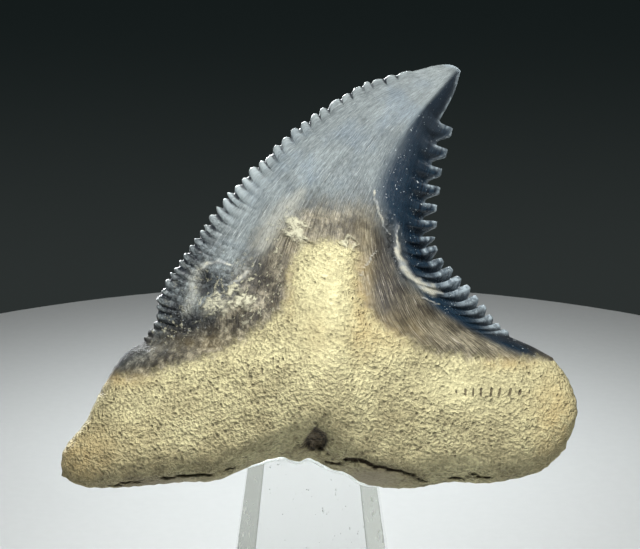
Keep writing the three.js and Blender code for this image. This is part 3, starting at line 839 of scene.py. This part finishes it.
class NodeSheet:
    """Adds and links the nodes of one material or node group."""

    def __init__(self, tree):
        self.tree = tree

    def add(self, kind, inputs=None, **settings):
        """A new node with its settings, and its inputs set or linked by name or number."""
        node = self.tree.nodes.new(kind)
        for name, value in settings.items():
            setattr(node, name, value)
        for name, value in (inputs or {}).items():
            socket = node.inputs[name]
            if isinstance(value, bpy.types.NodeSocket):
                self.tree.links.new(value, socket)
            else:
                socket.default_value = value
        return node

    def mark(self, name):
        """A mark of the piece's own surface, from 0 to 1."""
        return self.add("ShaderNodeAttribute", attribute_name=name).outputs["Fac"]

    def math(self, operation, first, second, clamp=False):
        """Arithmetic on two values."""
        node = self.add("ShaderNodeMath", {0: first, 1: second}, operation=operation, use_clamp=clamp)
        return node.outputs[0]

    def plus(self, first, second):
        """Sum of two values."""
        return self.math("ADD", first, second)

    def minus(self, first, second):
        """First value less the second."""
        return self.math("SUBTRACT", first, second)

    def times(self, first, second):
        """Product of two values."""
        return self.math("MULTIPLY", first, second)

    def larger(self, first, second):
        """Larger of two values."""
        return self.math("MAXIMUM", first, second)

    def mix(self, share, first, second):
        """Mix of two values."""
        return self.add("ShaderNodeMix", {0: share, 2: first, 3: second}, data_type="FLOAT").outputs[0]

    def rise(self, value, low, high, start=0.0, end=1.0):
        """Smooth change from start to end as a value goes from low to high."""
        inputs = {"Value": value, "From Min": low, "From Max": high, "To Min": start, "To Max": end}
        return self.add("ShaderNodeMapRange", inputs, interpolation_type="SMOOTHSTEP").outputs["Result"]

    def blend(self, share, first, second):
        """Mix of two colours, each a colour or a link."""
        node = self.add("ShaderNodeMix", {0: share}, data_type="RGBA")
        for number, colour in ((6, first), (7, second)):
            if isinstance(colour, bpy.types.NodeSocket):
                self.tree.links.new(colour, node.inputs[number])
            else:
                node.inputs[number].default_value = (*colour, 1.0)
        return node.outputs[2]

    def multiply(self, colour, light):
        """A colour made lighter or darker by a value."""
        inputs = {0: 1.0, 6: colour, 7: light}
        return self.add("ShaderNodeMix", inputs, data_type="RGBA", blend_type="MULTIPLY").outputs[2]

    def noise(self, vector, scale, detail=3.0, roughness=0.55, distortion=0.0):
        """Noise value at a vector."""
        inputs = {
            "Vector": vector, "Scale": scale, "Detail": detail, "Roughness": roughness,
            "Distortion": distortion,
        }
        return self.add("ShaderNodeTexNoise", inputs).outputs["Fac"]

    def in_millimetres(self):
        """Places in the piece's own frame, in millimetres."""
        return self.stretched(self.add("ShaderNodeTexCoord").outputs["Object"], (1 / MM,) * 3)

    def stretched(self, vector, scale):
        """A vector scaled differently along each axis."""
        return self.add("ShaderNodeMapping", {"Vector": vector, "Scale": scale}).outputs["Vector"]

    def group(self, tree, inputs):
        """Outputs of a placed node group with its own values."""
        return self.add("ShaderNodeGroup", inputs, node_tree=tree).outputs


def new_group(name, inputs, outputs):
    """A node group with vector and value inputs, its sheet, and its input and output sockets by name."""
    tree = bpy.data.node_groups.new(name, "ShaderNodeTree")
    for label, value in inputs.items():
        kind = "NodeSocketVector" if value is None else "NodeSocketFloat"
        socket = tree.interface.new_socket(label, in_out="INPUT", socket_type=kind)
        if value is not None:
            socket.default_value = value
    for label in outputs:
        tree.interface.new_socket(label, in_out="OUTPUT", socket_type="NodeSocketFloat")
    sheet = NodeSheet(tree)
    return tree, sheet, sheet.add("NodeGroupInput").outputs, sheet.add("NodeGroupOutput").inputs


def ragged_edge_group():
    """Turns a mark whose line is at one half into a mask with a ragged edge."""
    inputs = {"Mark": 0.5, "Vector": None, "Scale": 1.0, "Raggedness": 0.1, "Softness": 0.05}
    tree, sheet, given, result = new_group("ragged edge", inputs, ["Mask"])
    drift = sheet.minus(sheet.noise(given["Vector"], given["Scale"], 5.0, 0.7), 0.5)
    moved = sheet.plus(given["Mark"], sheet.times(drift, given["Raggedness"]))
    low = sheet.minus(0.5, given["Softness"])
    high = sheet.plus(0.5, given["Softness"])
    tree.links.new(sheet.rise(moved, low, high), result["Mask"])
    return tree


def spongy_bone_group():
    """Fine grain, slanting folds and small round pores, as in weathered bone."""
    inputs = {"Vector": None, "Slant": None, "Grain": 5.0, "Fold": 2.0}
    tree, sheet, given, result = new_group("spongy bone", inputs, ["Height", "Tone", "Pits"])
    grain = sheet.rise(sheet.noise(given["Vector"], given["Grain"], 2.0, 0.5), 0.24, 0.76)
    folds = sheet.rise(sheet.noise(given["Slant"], given["Fold"], 3.0, 0.6, 0.4), 0.26, 0.74)
    pores = sheet.add("ShaderNodeTexVoronoi", {
        "Vector": given["Vector"], "Scale": sheet.times(given["Grain"], 0.5),
    }).outputs["Distance"]
    chosen = sheet.rise(sheet.noise(given["Vector"], 0.9, 2.0), 0.40, 0.60)
    pits = sheet.times(sheet.rise(pores, 0.16, 0.36, 1.0, 0.0), chosen)
    tone = sheet.plus(sheet.times(grain, 0.6), sheet.times(folds, 0.4))
    tree.links.new(sheet.minus(tone, sheet.times(pits, 0.5)), result["Height"])
    tree.links.new(tone, result["Tone"])
    tree.links.new(pits, result["Pits"])
    return tree


def streaks_group():
    """Long fine streaks along the second axis of a vector."""
    inputs = {"Vector": None, "Scale": 1.0, "Low": 0.45, "High": 0.65}
    tree, sheet, given, result = new_group("streaks", inputs, ["Streaks", "Fibre"])
    fibre = sheet.noise(given["Vector"], given["Scale"], 3.0, 0.6, 0.2)
    tree.links.new(sheet.rise(fibre, given["Low"], given["High"]), result["Streaks"])
    tree.links.new(fibre, result["Fibre"])
    return tree


def blotches_group():
    """Patches with a chosen cover."""
    inputs = {"Vector": None, "Scale": 1.0, "Low": 0.45, "High": 0.6}
    tree, sheet, given, result = new_group("blotches", inputs, ["Mask"])
    patches = sheet.noise(given["Vector"], given["Scale"], 4.0, 0.62, 0.3)
    tree.links.new(sheet.rise(patches, given["Low"], given["High"]), result["Mask"])
    return tree


def new_material(name):
    """A material, its node sheet, and the shader that is wired to its output."""
    material = bpy.data.materials.new(name)
    material.use_nodes = True
    material.node_tree.nodes.clear()
    sheet = NodeSheet(material.node_tree)
    shader = sheet.add("ShaderNodeBsdfPrincipled")
    sheet.add("ShaderNodeOutputMaterial", {"Surface": shader.outputs["BSDF"]})
    return material, sheet, shader


class ToothFinish:
    """The node sheet of the tooth's material, with the shared groups and the vectors they are placed by."""

    def __init__(self, sheet, settings):
        self.sheet = sheet
        self.settings = settings
        self.ragged = ragged_edge_group()
        self.sponge = spongy_bone_group()
        self.streaked = streaks_group()
        self.blotched = blotches_group()
        self.flow = sheet.add("ShaderNodeAttribute", attribute_name="flow").outputs["Vector"]
        self.slant = sheet.add("ShaderNodeAttribute", attribute_name="grain").outputs["Vector"]
        self.body = sheet.in_millimetres()

    def share(self, mark, strength):
        """A mark of the surface, weakened by a value."""
        return self.sheet.times(self.sheet.mark(mark), strength)

    def patches(self, scale, low, high):
        """Blotches of a size, with a cover given by the two limits."""
        inputs = {"Vector": self.body, "Scale": scale, "Low": low, "High": high}
        return self.sheet.group(self.blotched, inputs)["Mask"]

    def streaks(self, stretch, scale, low, high):
        """Streaks that follow the tooth from root to point."""
        vector = self.sheet.stretched(self.flow, (1.0, stretch, 1.0))
        inputs = {"Vector": vector, "Scale": scale, "Low": low, "High": high}
        return self.sheet.group(self.streaked, inputs)

    def border(self, mark, scale, raggedness, softness, vector):
        """One side of a line on the surface, with a ragged edge."""
        return self.sheet.group(self.ragged, {
            "Mark": self.sheet.mark(mark), "Vector": vector, "Scale": scale, "Raggedness": raggedness,
            "Softness": softness,
        })["Mask"]


def bone_layers(finish):
    """Colour and height of the root's bone."""
    sheet, settings = finish.sheet, finish.settings
    folded = sheet.stretched(finish.slant, (0.42, 1.0, 1.0))
    sponge = sheet.group(finish.sponge, {"Vector": finish.body, "Slant": folded, "Grain": 5.0, "Fold": 2.7})
    drift = sheet.rise(finish.patches(0.35, 0.30, 0.70), 0.0, 1.0, -0.14, 0.14)
    # The shade mark mixes clean bone into shaded bone: painted shade towards the base and painted light on
    # the ridge, with the bone's own patches.
    shade = sheet.math("ADD", sheet.mark("shade"), drift, clamp=True)
    colour = sheet.blend(shade, settings.bone, settings.bone_shade)
    grainy = sheet.rise(sheet.mark("shade"), 0.05, 0.34, 0.40, 1.0)
    tone = sheet.mix(grainy, 0.30, sponge["Tone"])
    colour = sheet.multiply(colour, sheet.rise(tone, 0.2, 0.8, 0.74, 1.22))
    pitted = sheet.times(sponge["Pits"], sheet.rise(sheet.mark("shade"), 0.0, 0.4, 0.12, 0.55))
    colour = sheet.blend(pitted, colour, settings.pit)
    waves = sheet.add("ShaderNodeTexWave", {
        "Vector": finish.body, "Scale": 0.52, "Distortion": 4.0, "Detail": 1.0,
    }).outputs["Fac"]
    slits = sheet.rise(finish.share("slits", waves), 0.82, 0.94, 0.0, 0.8)
    colour = sheet.blend(slits, colour, settings.pit)
    colour = sheet.blend(finish.share("flake", 0.8), colour, FLAKE_COLOUR)
    rough = sheet.times(grainy, sheet.rise(sheet.mark("flake"), 0.0, 1.0, 1.0, 0.3))
    return colour, sheet.minus(sheet.times(sponge["Height"], rough), slits)


def band_colours(finish, fibre, hair):
    """Colour of the brown band between root and blade: fibrous on one side and smudged on the other."""
    sheet, settings = finish.sheet, finish.settings
    tone = sheet.mix(sheet.mark("mottled"), fibre["Streaks"], finish.patches(1.5, 0.36, 0.64))
    colour = sheet.blend(tone, settings.brown, PALE_FIBRE)
    colour = sheet.blend(finish.share("umber", sheet.rise(tone, 0.0, 1.0, 1.0, 0.7)), colour, settings.umber)
    wisps = sheet.times(hair["Streaks"], sheet.rise(sheet.mark("mottled"), 0.0, 1.0, 0.85, 0.15))
    colour = sheet.blend(wisps, colour, WISP_COLOUR)
    return sheet.multiply(colour, sheet.rise(finish.patches(0.75, 0.35, 0.65), 0.0, 1.0, 0.62, 1.22))


def blade_colours(finish, fibre, hair, cloud):
    """Colour of the pale blade, with greyer patches and streaks, cold tints and fine scratches, painted shade
    towards the band and a painted sheen towards the point.
    """
    sheet, settings = finish.sheet, finish.settings
    colour = sheet.blend(finish.patches(0.5, 0.25, 0.65), settings.enamel_shade, settings.enamel)
    colour = sheet.blend(sheet.times(fibre["Streaks"], 0.22), colour, settings.enamel_shade)
    clear_part = sheet.rise(sheet.mark("mottled"), 0.0, 1.0, 0.6, 0.1)
    colour = sheet.blend(sheet.times(finish.patches(0.28, 0.45, 0.65), clear_part), colour, COLD_TINT)
    # The blade is painted darker towards the band, as painted shade.
    colour = sheet.multiply(colour, sheet.rise(sheet.mark("blade_side"), 0.5, 1.0, 0.68, 1.0))
    broad = finish.streaks(0.12, 1.5, 0.35, 0.65)["Streaks"]
    colour = sheet.multiply(colour, sheet.rise(broad, 0.0, 1.0, 0.88, 1.10))
    hairy = sheet.larger(sheet.rise(cloud, 0.0, 1.0, 0.1, 0.75), finish.share("streaky", 0.95))
    colour = sheet.blend(sheet.times(hair["Streaks"], hairy), colour, SCRATCH_COLOUR)
    # A painted sheen lightens the blade towards the point.
    return sheet.blend(finish.share("tip", 0.2), colour, TIP_SHEEN_COLOUR)


def crown_layers(finish):
    """Colour and height of the crown with its serrations and scars, and where its crust and facet lie. Its
    serrations take painted highlights on their ribs and rims and painted shade in their notches.
    """
    sheet, settings = finish.sheet, finish.settings
    fibre = finish.streaks(0.08, 8.0, 0.40, 0.60)
    hair = finish.streaks(0.04, 8.0, 0.615, 0.68)
    mottle = finish.patches(2.4, 0.42, 0.58)
    cloud = finish.patches(0.35, 0.35, 0.65)
    grain = sheet.noise(sheet.stretched(finish.flow, (1.0, 0.45, 1.0)), 6.0, 3.0, 0.65)
    blade = finish.border("blade_side", 0.8, 0.45, 0.34, finish.body)
    facet = finish.border("facet_side", 4.0, 0.26, 0.20, sheet.stretched(finish.flow, (1.0, 0.16, 1.0)))

    pale = blade_colours(finish, fibre, hair, cloud)
    colour = sheet.blend(blade, band_colours(finish, fibre, hair), pale)
    colour = sheet.multiply(colour, sheet.rise(grain, 0.32, 0.68, 0.66, 1.28))
    chaos = sheet.rise(sheet.noise(finish.body, 3.4, 4.0, 0.7, 0.6), 0.36, 0.64, 0.40, 1.45)
    colour = sheet.multiply(colour, sheet.mix(sheet.mark("mottled"), 1.0, chaos))
    gloom_and_lip_shadow = finish.share("gloom_and_lip_shadow", sheet.rise(mottle, 0.0, 1.0, 0.75, 1.0))
    shore = finish.share("shore", sheet.rise(mottle, 0.0, 1.0, 0.55, 0.95))
    # Dark gloom patches, the lip's painted shadow and the dark shore.
    colour = sheet.blend(sheet.larger(gloom_and_lip_shadow, shore), colour, GLOOM_COLOUR)
    colour = sheet.blend(finish.share("veil", sheet.rise(grain, 0.3, 0.6, 0.25, 0.65)), colour, VEIL_COLOUR)
    # Painted highlights on the ribs of the fine serrations.
    rib_highlight = finish.share("rib_highlight", sheet.rise(sheet.mark("shore"), 0.0, 0.8, 0.7, 0.35))
    colour = sheet.blend(rib_highlight, colour, RIB_HIGHLIGHT_COLOUR)
    # Painted shade in the notches between the serrations.
    notch_shade = sheet.times(sheet.rise(sheet.mark("notch_shade"), 0.2, 0.6), sheet.rise(mottle, 0.0, 1.0, 0.6, 1.0))
    colour = sheet.blend(notch_shade, colour, NOTCH_SHADE_COLOUR)

    deep = sheet.blend(sheet.mark("black"), settings.navy, FACET_BLACK)
    deep = sheet.blend(sheet.times(fibre["Streaks"], 0.5), deep, FACET_STREAK)
    colour = sheet.blend(facet, colour, deep)
    colour = sheet.blend(finish.share("heel", 0.9), colour, HEEL_COLOUR)
    # Pale thumbs and the painted highlights on their rims.
    thumb = finish.share("thumb", sheet.rise(mottle, 0.0, 1.0, 0.85, 0.35))
    colour = sheet.blend(thumb, colour, THUMB_AND_HIGHLIGHT_COLOUR)
    # White specks on the facet and the dark gloom patches, which also stand for painted glints.
    speckled = sheet.times(sheet.larger(facet, sheet.mark("gloom_and_lip_shadow")), cloud)
    specks = sheet.times(sheet.rise(sheet.noise(finish.body, 8.0, 0.0), 0.75, 0.81), speckled)
    colour = sheet.blend(specks, colour, SPECK_AND_GLINT_COLOUR)
    scar = sheet.times(sheet.rise(sheet.mark("scar"), 0.1, 1.0), sheet.rise(grain, 0.3, 0.6, 0.5, 0.9))
    colour = sheet.blend(scar, colour, sheet.blend(finish.patches(1.3, 0.4, 0.6), SCAR_GREY, SCAR_CREAM))
    crust = sheet.times(sheet.rise(sheet.mark("crust"), 0.2, 0.8), finish.patches(2.2, 0.36, 0.56))
    crust = sheet.larger(crust, finish.share("flecks", finish.patches(2.8, 0.57, 0.64)))
    colour = sheet.blend(crust, colour, settings.deposit)

    height = sheet.plus(sheet.times(fibre["Fibre"], 0.3), sheet.times(crust, 0.4))
    rough = sheet.times(sheet.larger(sheet.mark("gloom_and_lip_shadow"), sheet.mark("shore")), mottle)
    return colour, sheet.plus(height, sheet.times(rough, 0.5)), crust, facet


def tooth_material(settings):
    """Spongy bone on the root, a brown streaked band, and a pale blade with a navy facet and notches."""
    material, sheet, shader = new_material("fossil tooth")
    finish = ToothFinish(sheet, settings)
    bone, bone_height = bone_layers(finish)
    crown, crown_height, crust, facet = crown_layers(finish)
    enamel = finish.border("enamel_side", 1.5, 0.45, 0.12, finish.body)
    colour = sheet.blend(enamel, bone, crown)
    rust = finish.share("stain", sheet.rise(finish.patches(1.1, 0.30, 0.62), 0.0, 1.0, 0.25, 0.65))
    colour = sheet.blend(rust, colour, settings.ochre)
    # Inside the hole and its side pits: dark and paler brown, mixed by lumpy noise.
    lumps = sheet.rise(sheet.noise(finish.body, 2.2, 3.0, 0.7), 0.38, 0.62)
    hole_colour = sheet.blend(lumps, HOLE_DARK, HOLE_BROWN)
    colour = sheet.blend(sheet.rise(sheet.mark("cavity"), 0.2, 0.9), colour, hole_colour)
    colour = sheet.blend(sheet.rise(sheet.mark("crack"), 0.3, 0.7), colour, settings.pit)
    sheet.tree.links.new(colour, shader.inputs["Base Color"])
    dull = sheet.larger(sheet.larger(sheet.minus(1.0, enamel), crust), sheet.mark("heel"))
    glossy = sheet.times(sheet.times(facet, enamel), sheet.rise(sheet.mark("tip"), 0.0, 0.6, 0.2, -0.45))
    roughness = sheet.minus(sheet.rise(dull, 0.0, 1.0, 0.46, 0.80), glossy)
    sheet.tree.links.new(roughness, shader.inputs["Roughness"])
    shader.inputs["Specular IOR Level"].default_value = 0.3
    height = sheet.mix(enamel, bone_height, crown_height)
    bump = sheet.add("ShaderNodeBump", {"Height": height, "Strength": 1.0, "Distance": BUMP_DEPTH})
    sheet.tree.links.new(bump.outputs["Normal"], shader.inputs["Normal"])
    return material


def acrylic_material(name, index, colours, speck_size, cover, roughness):
    """Clear acrylic whose specks and scuffs take a second colour and roughness."""
    material, sheet, shader = new_material(name)
    tall = sheet.stretched(sheet.in_millimetres(), (1.0, 1.0, 0.4))
    scuffs = sheet.noise(tall, 1 / speck_size, 3.0, 0.65)
    specks = sheet.rise(scuffs, 0.72 - cover, 0.78 - cover)
    sheet.tree.links.new(sheet.blend(specks, *colours), shader.inputs["Base Color"])
    sheet.tree.links.new(sheet.rise(specks, 0.0, 1.0, *roughness), shader.inputs["Roughness"])
    shader.inputs["Transmission Weight"].default_value = 1.0
    shader.inputs["IOR"].default_value = index
    return material


def matt_material(name, colour):
    """Matt surface with a faint unevenness in its finish."""
    material, sheet, shader = new_material(name)
    grain = sheet.noise(sheet.add("ShaderNodeTexCoord").outputs["Object"], 900.0, 2.0)
    shader.inputs["Base Color"].default_value = (*colour, 1.0)
    sheet.tree.links.new(sheet.rise(grain, 0.3, 0.7, 0.6, 0.75), shader.inputs["Roughness"])
    return material


def finished_object(name, mesh, materials):
    """Makes an object of a finished mesh with its materials, and links it to the scene."""
    piece = bpy.data.objects.new(name, mesh)
    bpy.context.scene.collection.objects.link(piece)
    for material in materials:
        mesh.materials.append(material)
    return piece


def seat_matrix(settings):
    """From the tooth's own frame, in millimetres, to its leaning place in the seat, in metres."""
    lean = Matrix.Rotation(-settings.lean, 4, "X")
    return Matrix.Translation((0, settings.setback, settings.seat_height)) @ lean @ Matrix.Scale(MM, 4)


def move_sheet(vertices, face, settings, layers, flows):
    """Moves a flat sheet's vertices onto one face of the tooth and stores its marks."""
    columns = face["depth"].shape[1]
    ordered = sorted(vertices, key=lambda vertex: (round(vertex.co.y, 6), round(vertex.co.x, 6)))
    bend = settings.point_bend / MM
    seat = seat_matrix(settings)
    for number, vertex in enumerate(ordered):
        row, column = divmod(number, columns)
        x, z = face["place"][row, column]
        depth = face["depth"][row, column]
        bare = 1 - smooth_step(0.4, 0.6, face["marks"]["enamel_side"][row, column])
        spot = Vector((x, depth, z))
        lumps = sum(part * noise.noise(spot * frequency) for frequency, part in LUMPS)
        clean = 1 - smooth_step(0.0, 0.36, face["marks"]["shade"][row, column])
        relief = ENAMEL_LUMPS + (BONE_LUMPS + CLEAN_BONE_LUMPS * clean) * bare
        y = depth + relief * lumps * min(1.0, abs(depth) / LUMP_INSET)
        y -= bend * (z / TOOTH_HEIGHT) ** 2
        vertex.co = seat @ Vector((x, y, z))
        for name, layer in layers.items():
            vertex[layer] = face["marks"][name][row, column]
        for name, layer in flows.items():
            vertex[layer] = (*face[name][row, column], OUTER_SHIFT * (depth > 0))


class FOSSIL_OT_tooth(bpy.types.Operator):
    """Models the tooth: two sheets moved onto its faces and joined along the edges"""

    bl_idname = "fossil.tooth"
    bl_label = "Tooth"

    def execute(self, context):
        settings = context.scene.fossil_tooth
        faces = tooth_surface(settings)
        rows, columns = faces[0]["depth"].shape
        bm = bmesh.new()
        values, vectors = bm.verts.layers.float, bm.verts.layers.float_vector
        for name in faces[0]["marks"]:
            values.new(name)
        for name in ("flow", "grain"):
            vectors.new(name)
        layers = {name: values[name] for name in faces[0]["marks"]}
        flows = {name: vectors[name] for name in ("flow", "grain")}
        for face, flip in zip(faces, (False, True)):
            made = bmesh.ops.create_grid(bm, x_segments=columns - 1, y_segments=rows - 1, size=0.5)
            vertices = made["verts"]
            if len(vertices) != rows * columns:
                raise RuntimeError(f"a sheet has {len(vertices)} vertices, not {rows * columns}")
            if flip:
                bmesh.ops.reverse_faces(bm, faces=list({f for v in vertices for f in v.link_faces}))
            move_sheet(vertices, face, settings, layers, flows)
        bmesh.ops.remove_doubles(bm, verts=bm.verts, dist=1e-7)
        bmesh.ops.dissolve_degenerate(bm, edges=bm.edges, dist=1e-8)
        for polygon in bm.faces:
            polygon.smooth = True
        mesh = bpy.data.meshes.new("fossil_tooth")
        bm.to_mesh(mesh)
        bm.free()
        piece = finished_object("fossil_tooth", mesh, [tooth_material(settings)])
        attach(piece, ROOT_BODY)
        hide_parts("tooth")
        return {"FINISHED"}


def post_materials(settings):
    """The post's materials, in the order of their numbers."""
    clear, dusty, index = tuple(settings.clear), tuple(settings.dusty), settings.index
    sawn_roughness = (settings.haze, settings.haze + 0.2)
    return [
        acrylic_material("clear acrylic", index, (clear, CLEAR_SPECKS), 0.22, 0.06, (0.02, 0.3)),
        acrylic_material("sawn acrylic", index, (dusty, SAWN_SPECKS), 0.4, 0.12, sawn_roughness),
        acrylic_material("edges painted dark", index, (DARK_EDGE_TINT, DARK_EDGE_SPECKS), 0.7, 0.2, (0.3, 0.5)),
        matt_material("sanded underside", SANDED_COLOUR),
        acrylic_material("milled seat", index, (MILLED_TINT, MILLED_SPECKS), 0.3, 0.2, (0.4, 0.6)),
    ]


class FOSSIL_OT_stand(bpy.types.Operator):
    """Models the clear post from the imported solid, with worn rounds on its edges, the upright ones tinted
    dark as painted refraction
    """

    bl_idname = "fossil.stand"
    bl_label = "Stand"

    def execute(self, context):
        settings = context.scene.fossil_stand
        seat = seat_matrix(context.scene.fossil_tooth)
        bm = bmesh.new()
        bm.from_mesh(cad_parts["stand"].data)
        bmesh.ops.remove_doubles(bm, verts=bm.verts, dist=0.002 * MM)
        base = smooth_curve(ROOT_BASE)[0]
        for vertex in bm.verts:
            place = seat.inverted() @ vertex.co
            gap = np.interp(place.x, base[:, 0], base[:, 1]) - place.z
            if SEAT_GAP[0] < gap < SEAT_GAP[1] and place.y < SEAT_BACK:
                vertex.co = seat @ (place + Vector((0, 0, settings.seat_lift / MM)))
        bmesh.ops.dissolve_limit(bm, angle_limit=math.radians(2), verts=bm.verts, edges=bm.edges)
        for polygon in bm.faces:
            x, y, z = polygon.normal
            in_seat = (seat.inverted() @ polygon.calc_center_median()).y < MILLED_BACK
            if min(abs(x), abs(y)) > 0.4:
                polygon.material_index = SAWN
            elif z < -0.9:
                polygon.material_index = SANDED
            elif in_seat and (z > 0.5 or y < -0.95 and z > 0.18):
                polygon.material_index = MILLED
        sharp = [edge for edge in bm.edges if edge.calc_face_angle(0.0) > math.radians(25)]
        rounds = bmesh.ops.bevel(
            bm, geom=sharp, offset=settings.edge_round, affect="EDGES", segments=2, profile=0.5, material=-1,
            clamp_overlap=True)
        for polygon in rounds["faces"]:
            # Upright rounds take the dark tint of painted refraction.
            polygon.material_index = PAINTED_DARK_EDGES if abs(polygon.normal.z) < 0.3 else MILLED
        mesh = bpy.data.meshes.new("clear_post")
        bm.to_mesh(mesh)
        bm.free()
        piece = finished_object("clear_post", mesh, post_materials(settings))
        piece.visible_shadow = False
        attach(piece, ROOT_BODY)
        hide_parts("stand")
        return {"FINISHED"}


def soft_light(name, place, target, size, power, spread, colour):
    """A square soft light that isn't seen itself, with the angle it spreads over in degrees."""
    lamp = bpy.data.lights.new(name, "AREA")
    lamp.shape = "SQUARE"
    lamp.size = size
    lamp.energy = power
    lamp.spread = math.radians(spread)
    lamp.color = colour
    light = bpy.data.objects.new(name, lamp)
    light.location = place
    light.rotation_euler = (Vector(target) - Vector(place)).to_track_quat("-Z", "Y").to_euler()
    light.visible_camera = False
    bpy.context.scene.collection.objects.link(light)


class FOSSIL_OT_stage(bpy.types.Operator):
    """Makes the pale floor, the soft lights and the camera"""

    bl_idname = "fossil.stage"
    bl_label = "Stage"

    def execute(self, context):
        scene = context.scene
        settings = scene.fossil_stage
        bm = bmesh.new()
        bmesh.ops.create_circle(bm, cap_ends=True, segments=160, radius=settings.floor_radius)
        bmesh.ops.scale(bm, vec=(FLOOR_ASPECT, 1.0, 1.0), verts=bm.verts)
        mesh = bpy.data.meshes.new("floor")
        bm.to_mesh(mesh)
        bm.free()
        floor = finished_object("floor", mesh, [matt_material("pale floor", settings.floor_colour)])

        world = bpy.data.worlds.new("backdrop")
        world.use_nodes = True
        sheet = NodeSheet(world.node_tree)
        direction = sheet.add("ShaderNodeTexCoord").outputs["Generated"]
        upward = sheet.add("ShaderNodeSeparateXYZ", {0: direction}).outputs["Z"]
        glow = sheet.blend(sheet.rise(upward, -0.27, -0.15, 1.0, 0.0), settings.backdrop, settings.glow)
        world.node_tree.links.new(glow, world.node_tree.nodes["Background"].inputs["Color"])
        scene.world = world
        scene.view_settings.view_transform = "Standard"
        middle = seat_matrix(scene.fossil_tooth) @ Vector((VIEW_MIDDLE[0], 0, VIEW_MIDDLE[1]))
        soft_light("key light", (0.0, -0.085, 0.175), (0.0, -0.04, 0.0), 0.07, 0.44, 152, (1.0, 0.99, 0.97))
        soft_light("fill light", (0.20, -0.18, 0.12), middle, 0.14, 0.10, 180, (0.96, 0.98, 1.0))
        soft_light("floor light", (0.0, 0.098, 0.15), (0.0, 0.098, 0.0), 0.05, 0.0243, 50, (0.97, 0.99, 1.0))
        soft_light("back light", (-0.06, 0.17, 0.10), middle, 0.06, 0.06, 40, (0.96, 0.985, 1.0))

        data = bpy.data.cameras.new("camera")
        data.sensor_width = 36.0
        data.lens = settings.pixels_per_mm / MM * settings.distance / settings.image_width * data.sensor_width
        camera = bpy.data.objects.new("camera", data)
        back = Vector((0, -math.cos(settings.elevation), math.sin(settings.elevation)))
        camera.location = middle + back * settings.distance
        camera.rotation_euler = (-back).to_track_quat("-Z", "Y").to_euler()
        scene.collection.objects.link(camera)
        scene.camera = camera
        return {"FINISHED"}


class FOSSIL_PT_panel(bpy.types.Panel):
    """Sidebar panel with the pieces and their settings"""

    bl_idname = "FOSSIL_PT_panel"
    bl_label = "Fossil Tooth"
    bl_space_type = "VIEW_3D"
    bl_region_type = "UI"
    bl_category = "Fossil"

    def draw(self, context):
        for operator, group in PIECES:
            box = self.layout.box()
            box.operator(operator)
            settings = getattr(context.scene, group)
            for name in settings.bl_rna.properties.keys():
                if name not in {"rna_type", "name"}:
                    box.prop(settings, name)


PIECES = (
    ("fossil.stage", "fossil_stage"), ("fossil.stand", "fossil_stand"), ("fossil.tooth", "fossil_tooth"),
)
CLASSES = (
    ToothSettings, StandSettings, StageSettings,
    FOSSIL_OT_tooth, FOSSIL_OT_stand, FOSSIL_OT_stage, FOSSIL_PT_panel,
)


def register():
    """Registers the classes and hangs the settings on the scene."""
    for item in CLASSES:
        bpy.utils.register_class(item)
    bpy.types.Scene.fossil_tooth = PointerProperty(type=ToothSettings)
    bpy.types.Scene.fossil_stand = PointerProperty(type=StandSettings)
    bpy.types.Scene.fossil_stage = PointerProperty(type=StageSettings)


def unregister():
    """Takes the settings and the classes away again."""
    for _, group in PIECES:
        delattr(bpy.types.Scene, group)
    for item in reversed(CLASSES):
        bpy.utils.unregister_class(item)


def main():
    """Makes the stage and the pieces."""
    register()
    bpy.ops.fossil.stage()
    bpy.ops.fossil.stand()
    bpy.ops.fossil.tooth()


if __name__ == "__main__":
    main()
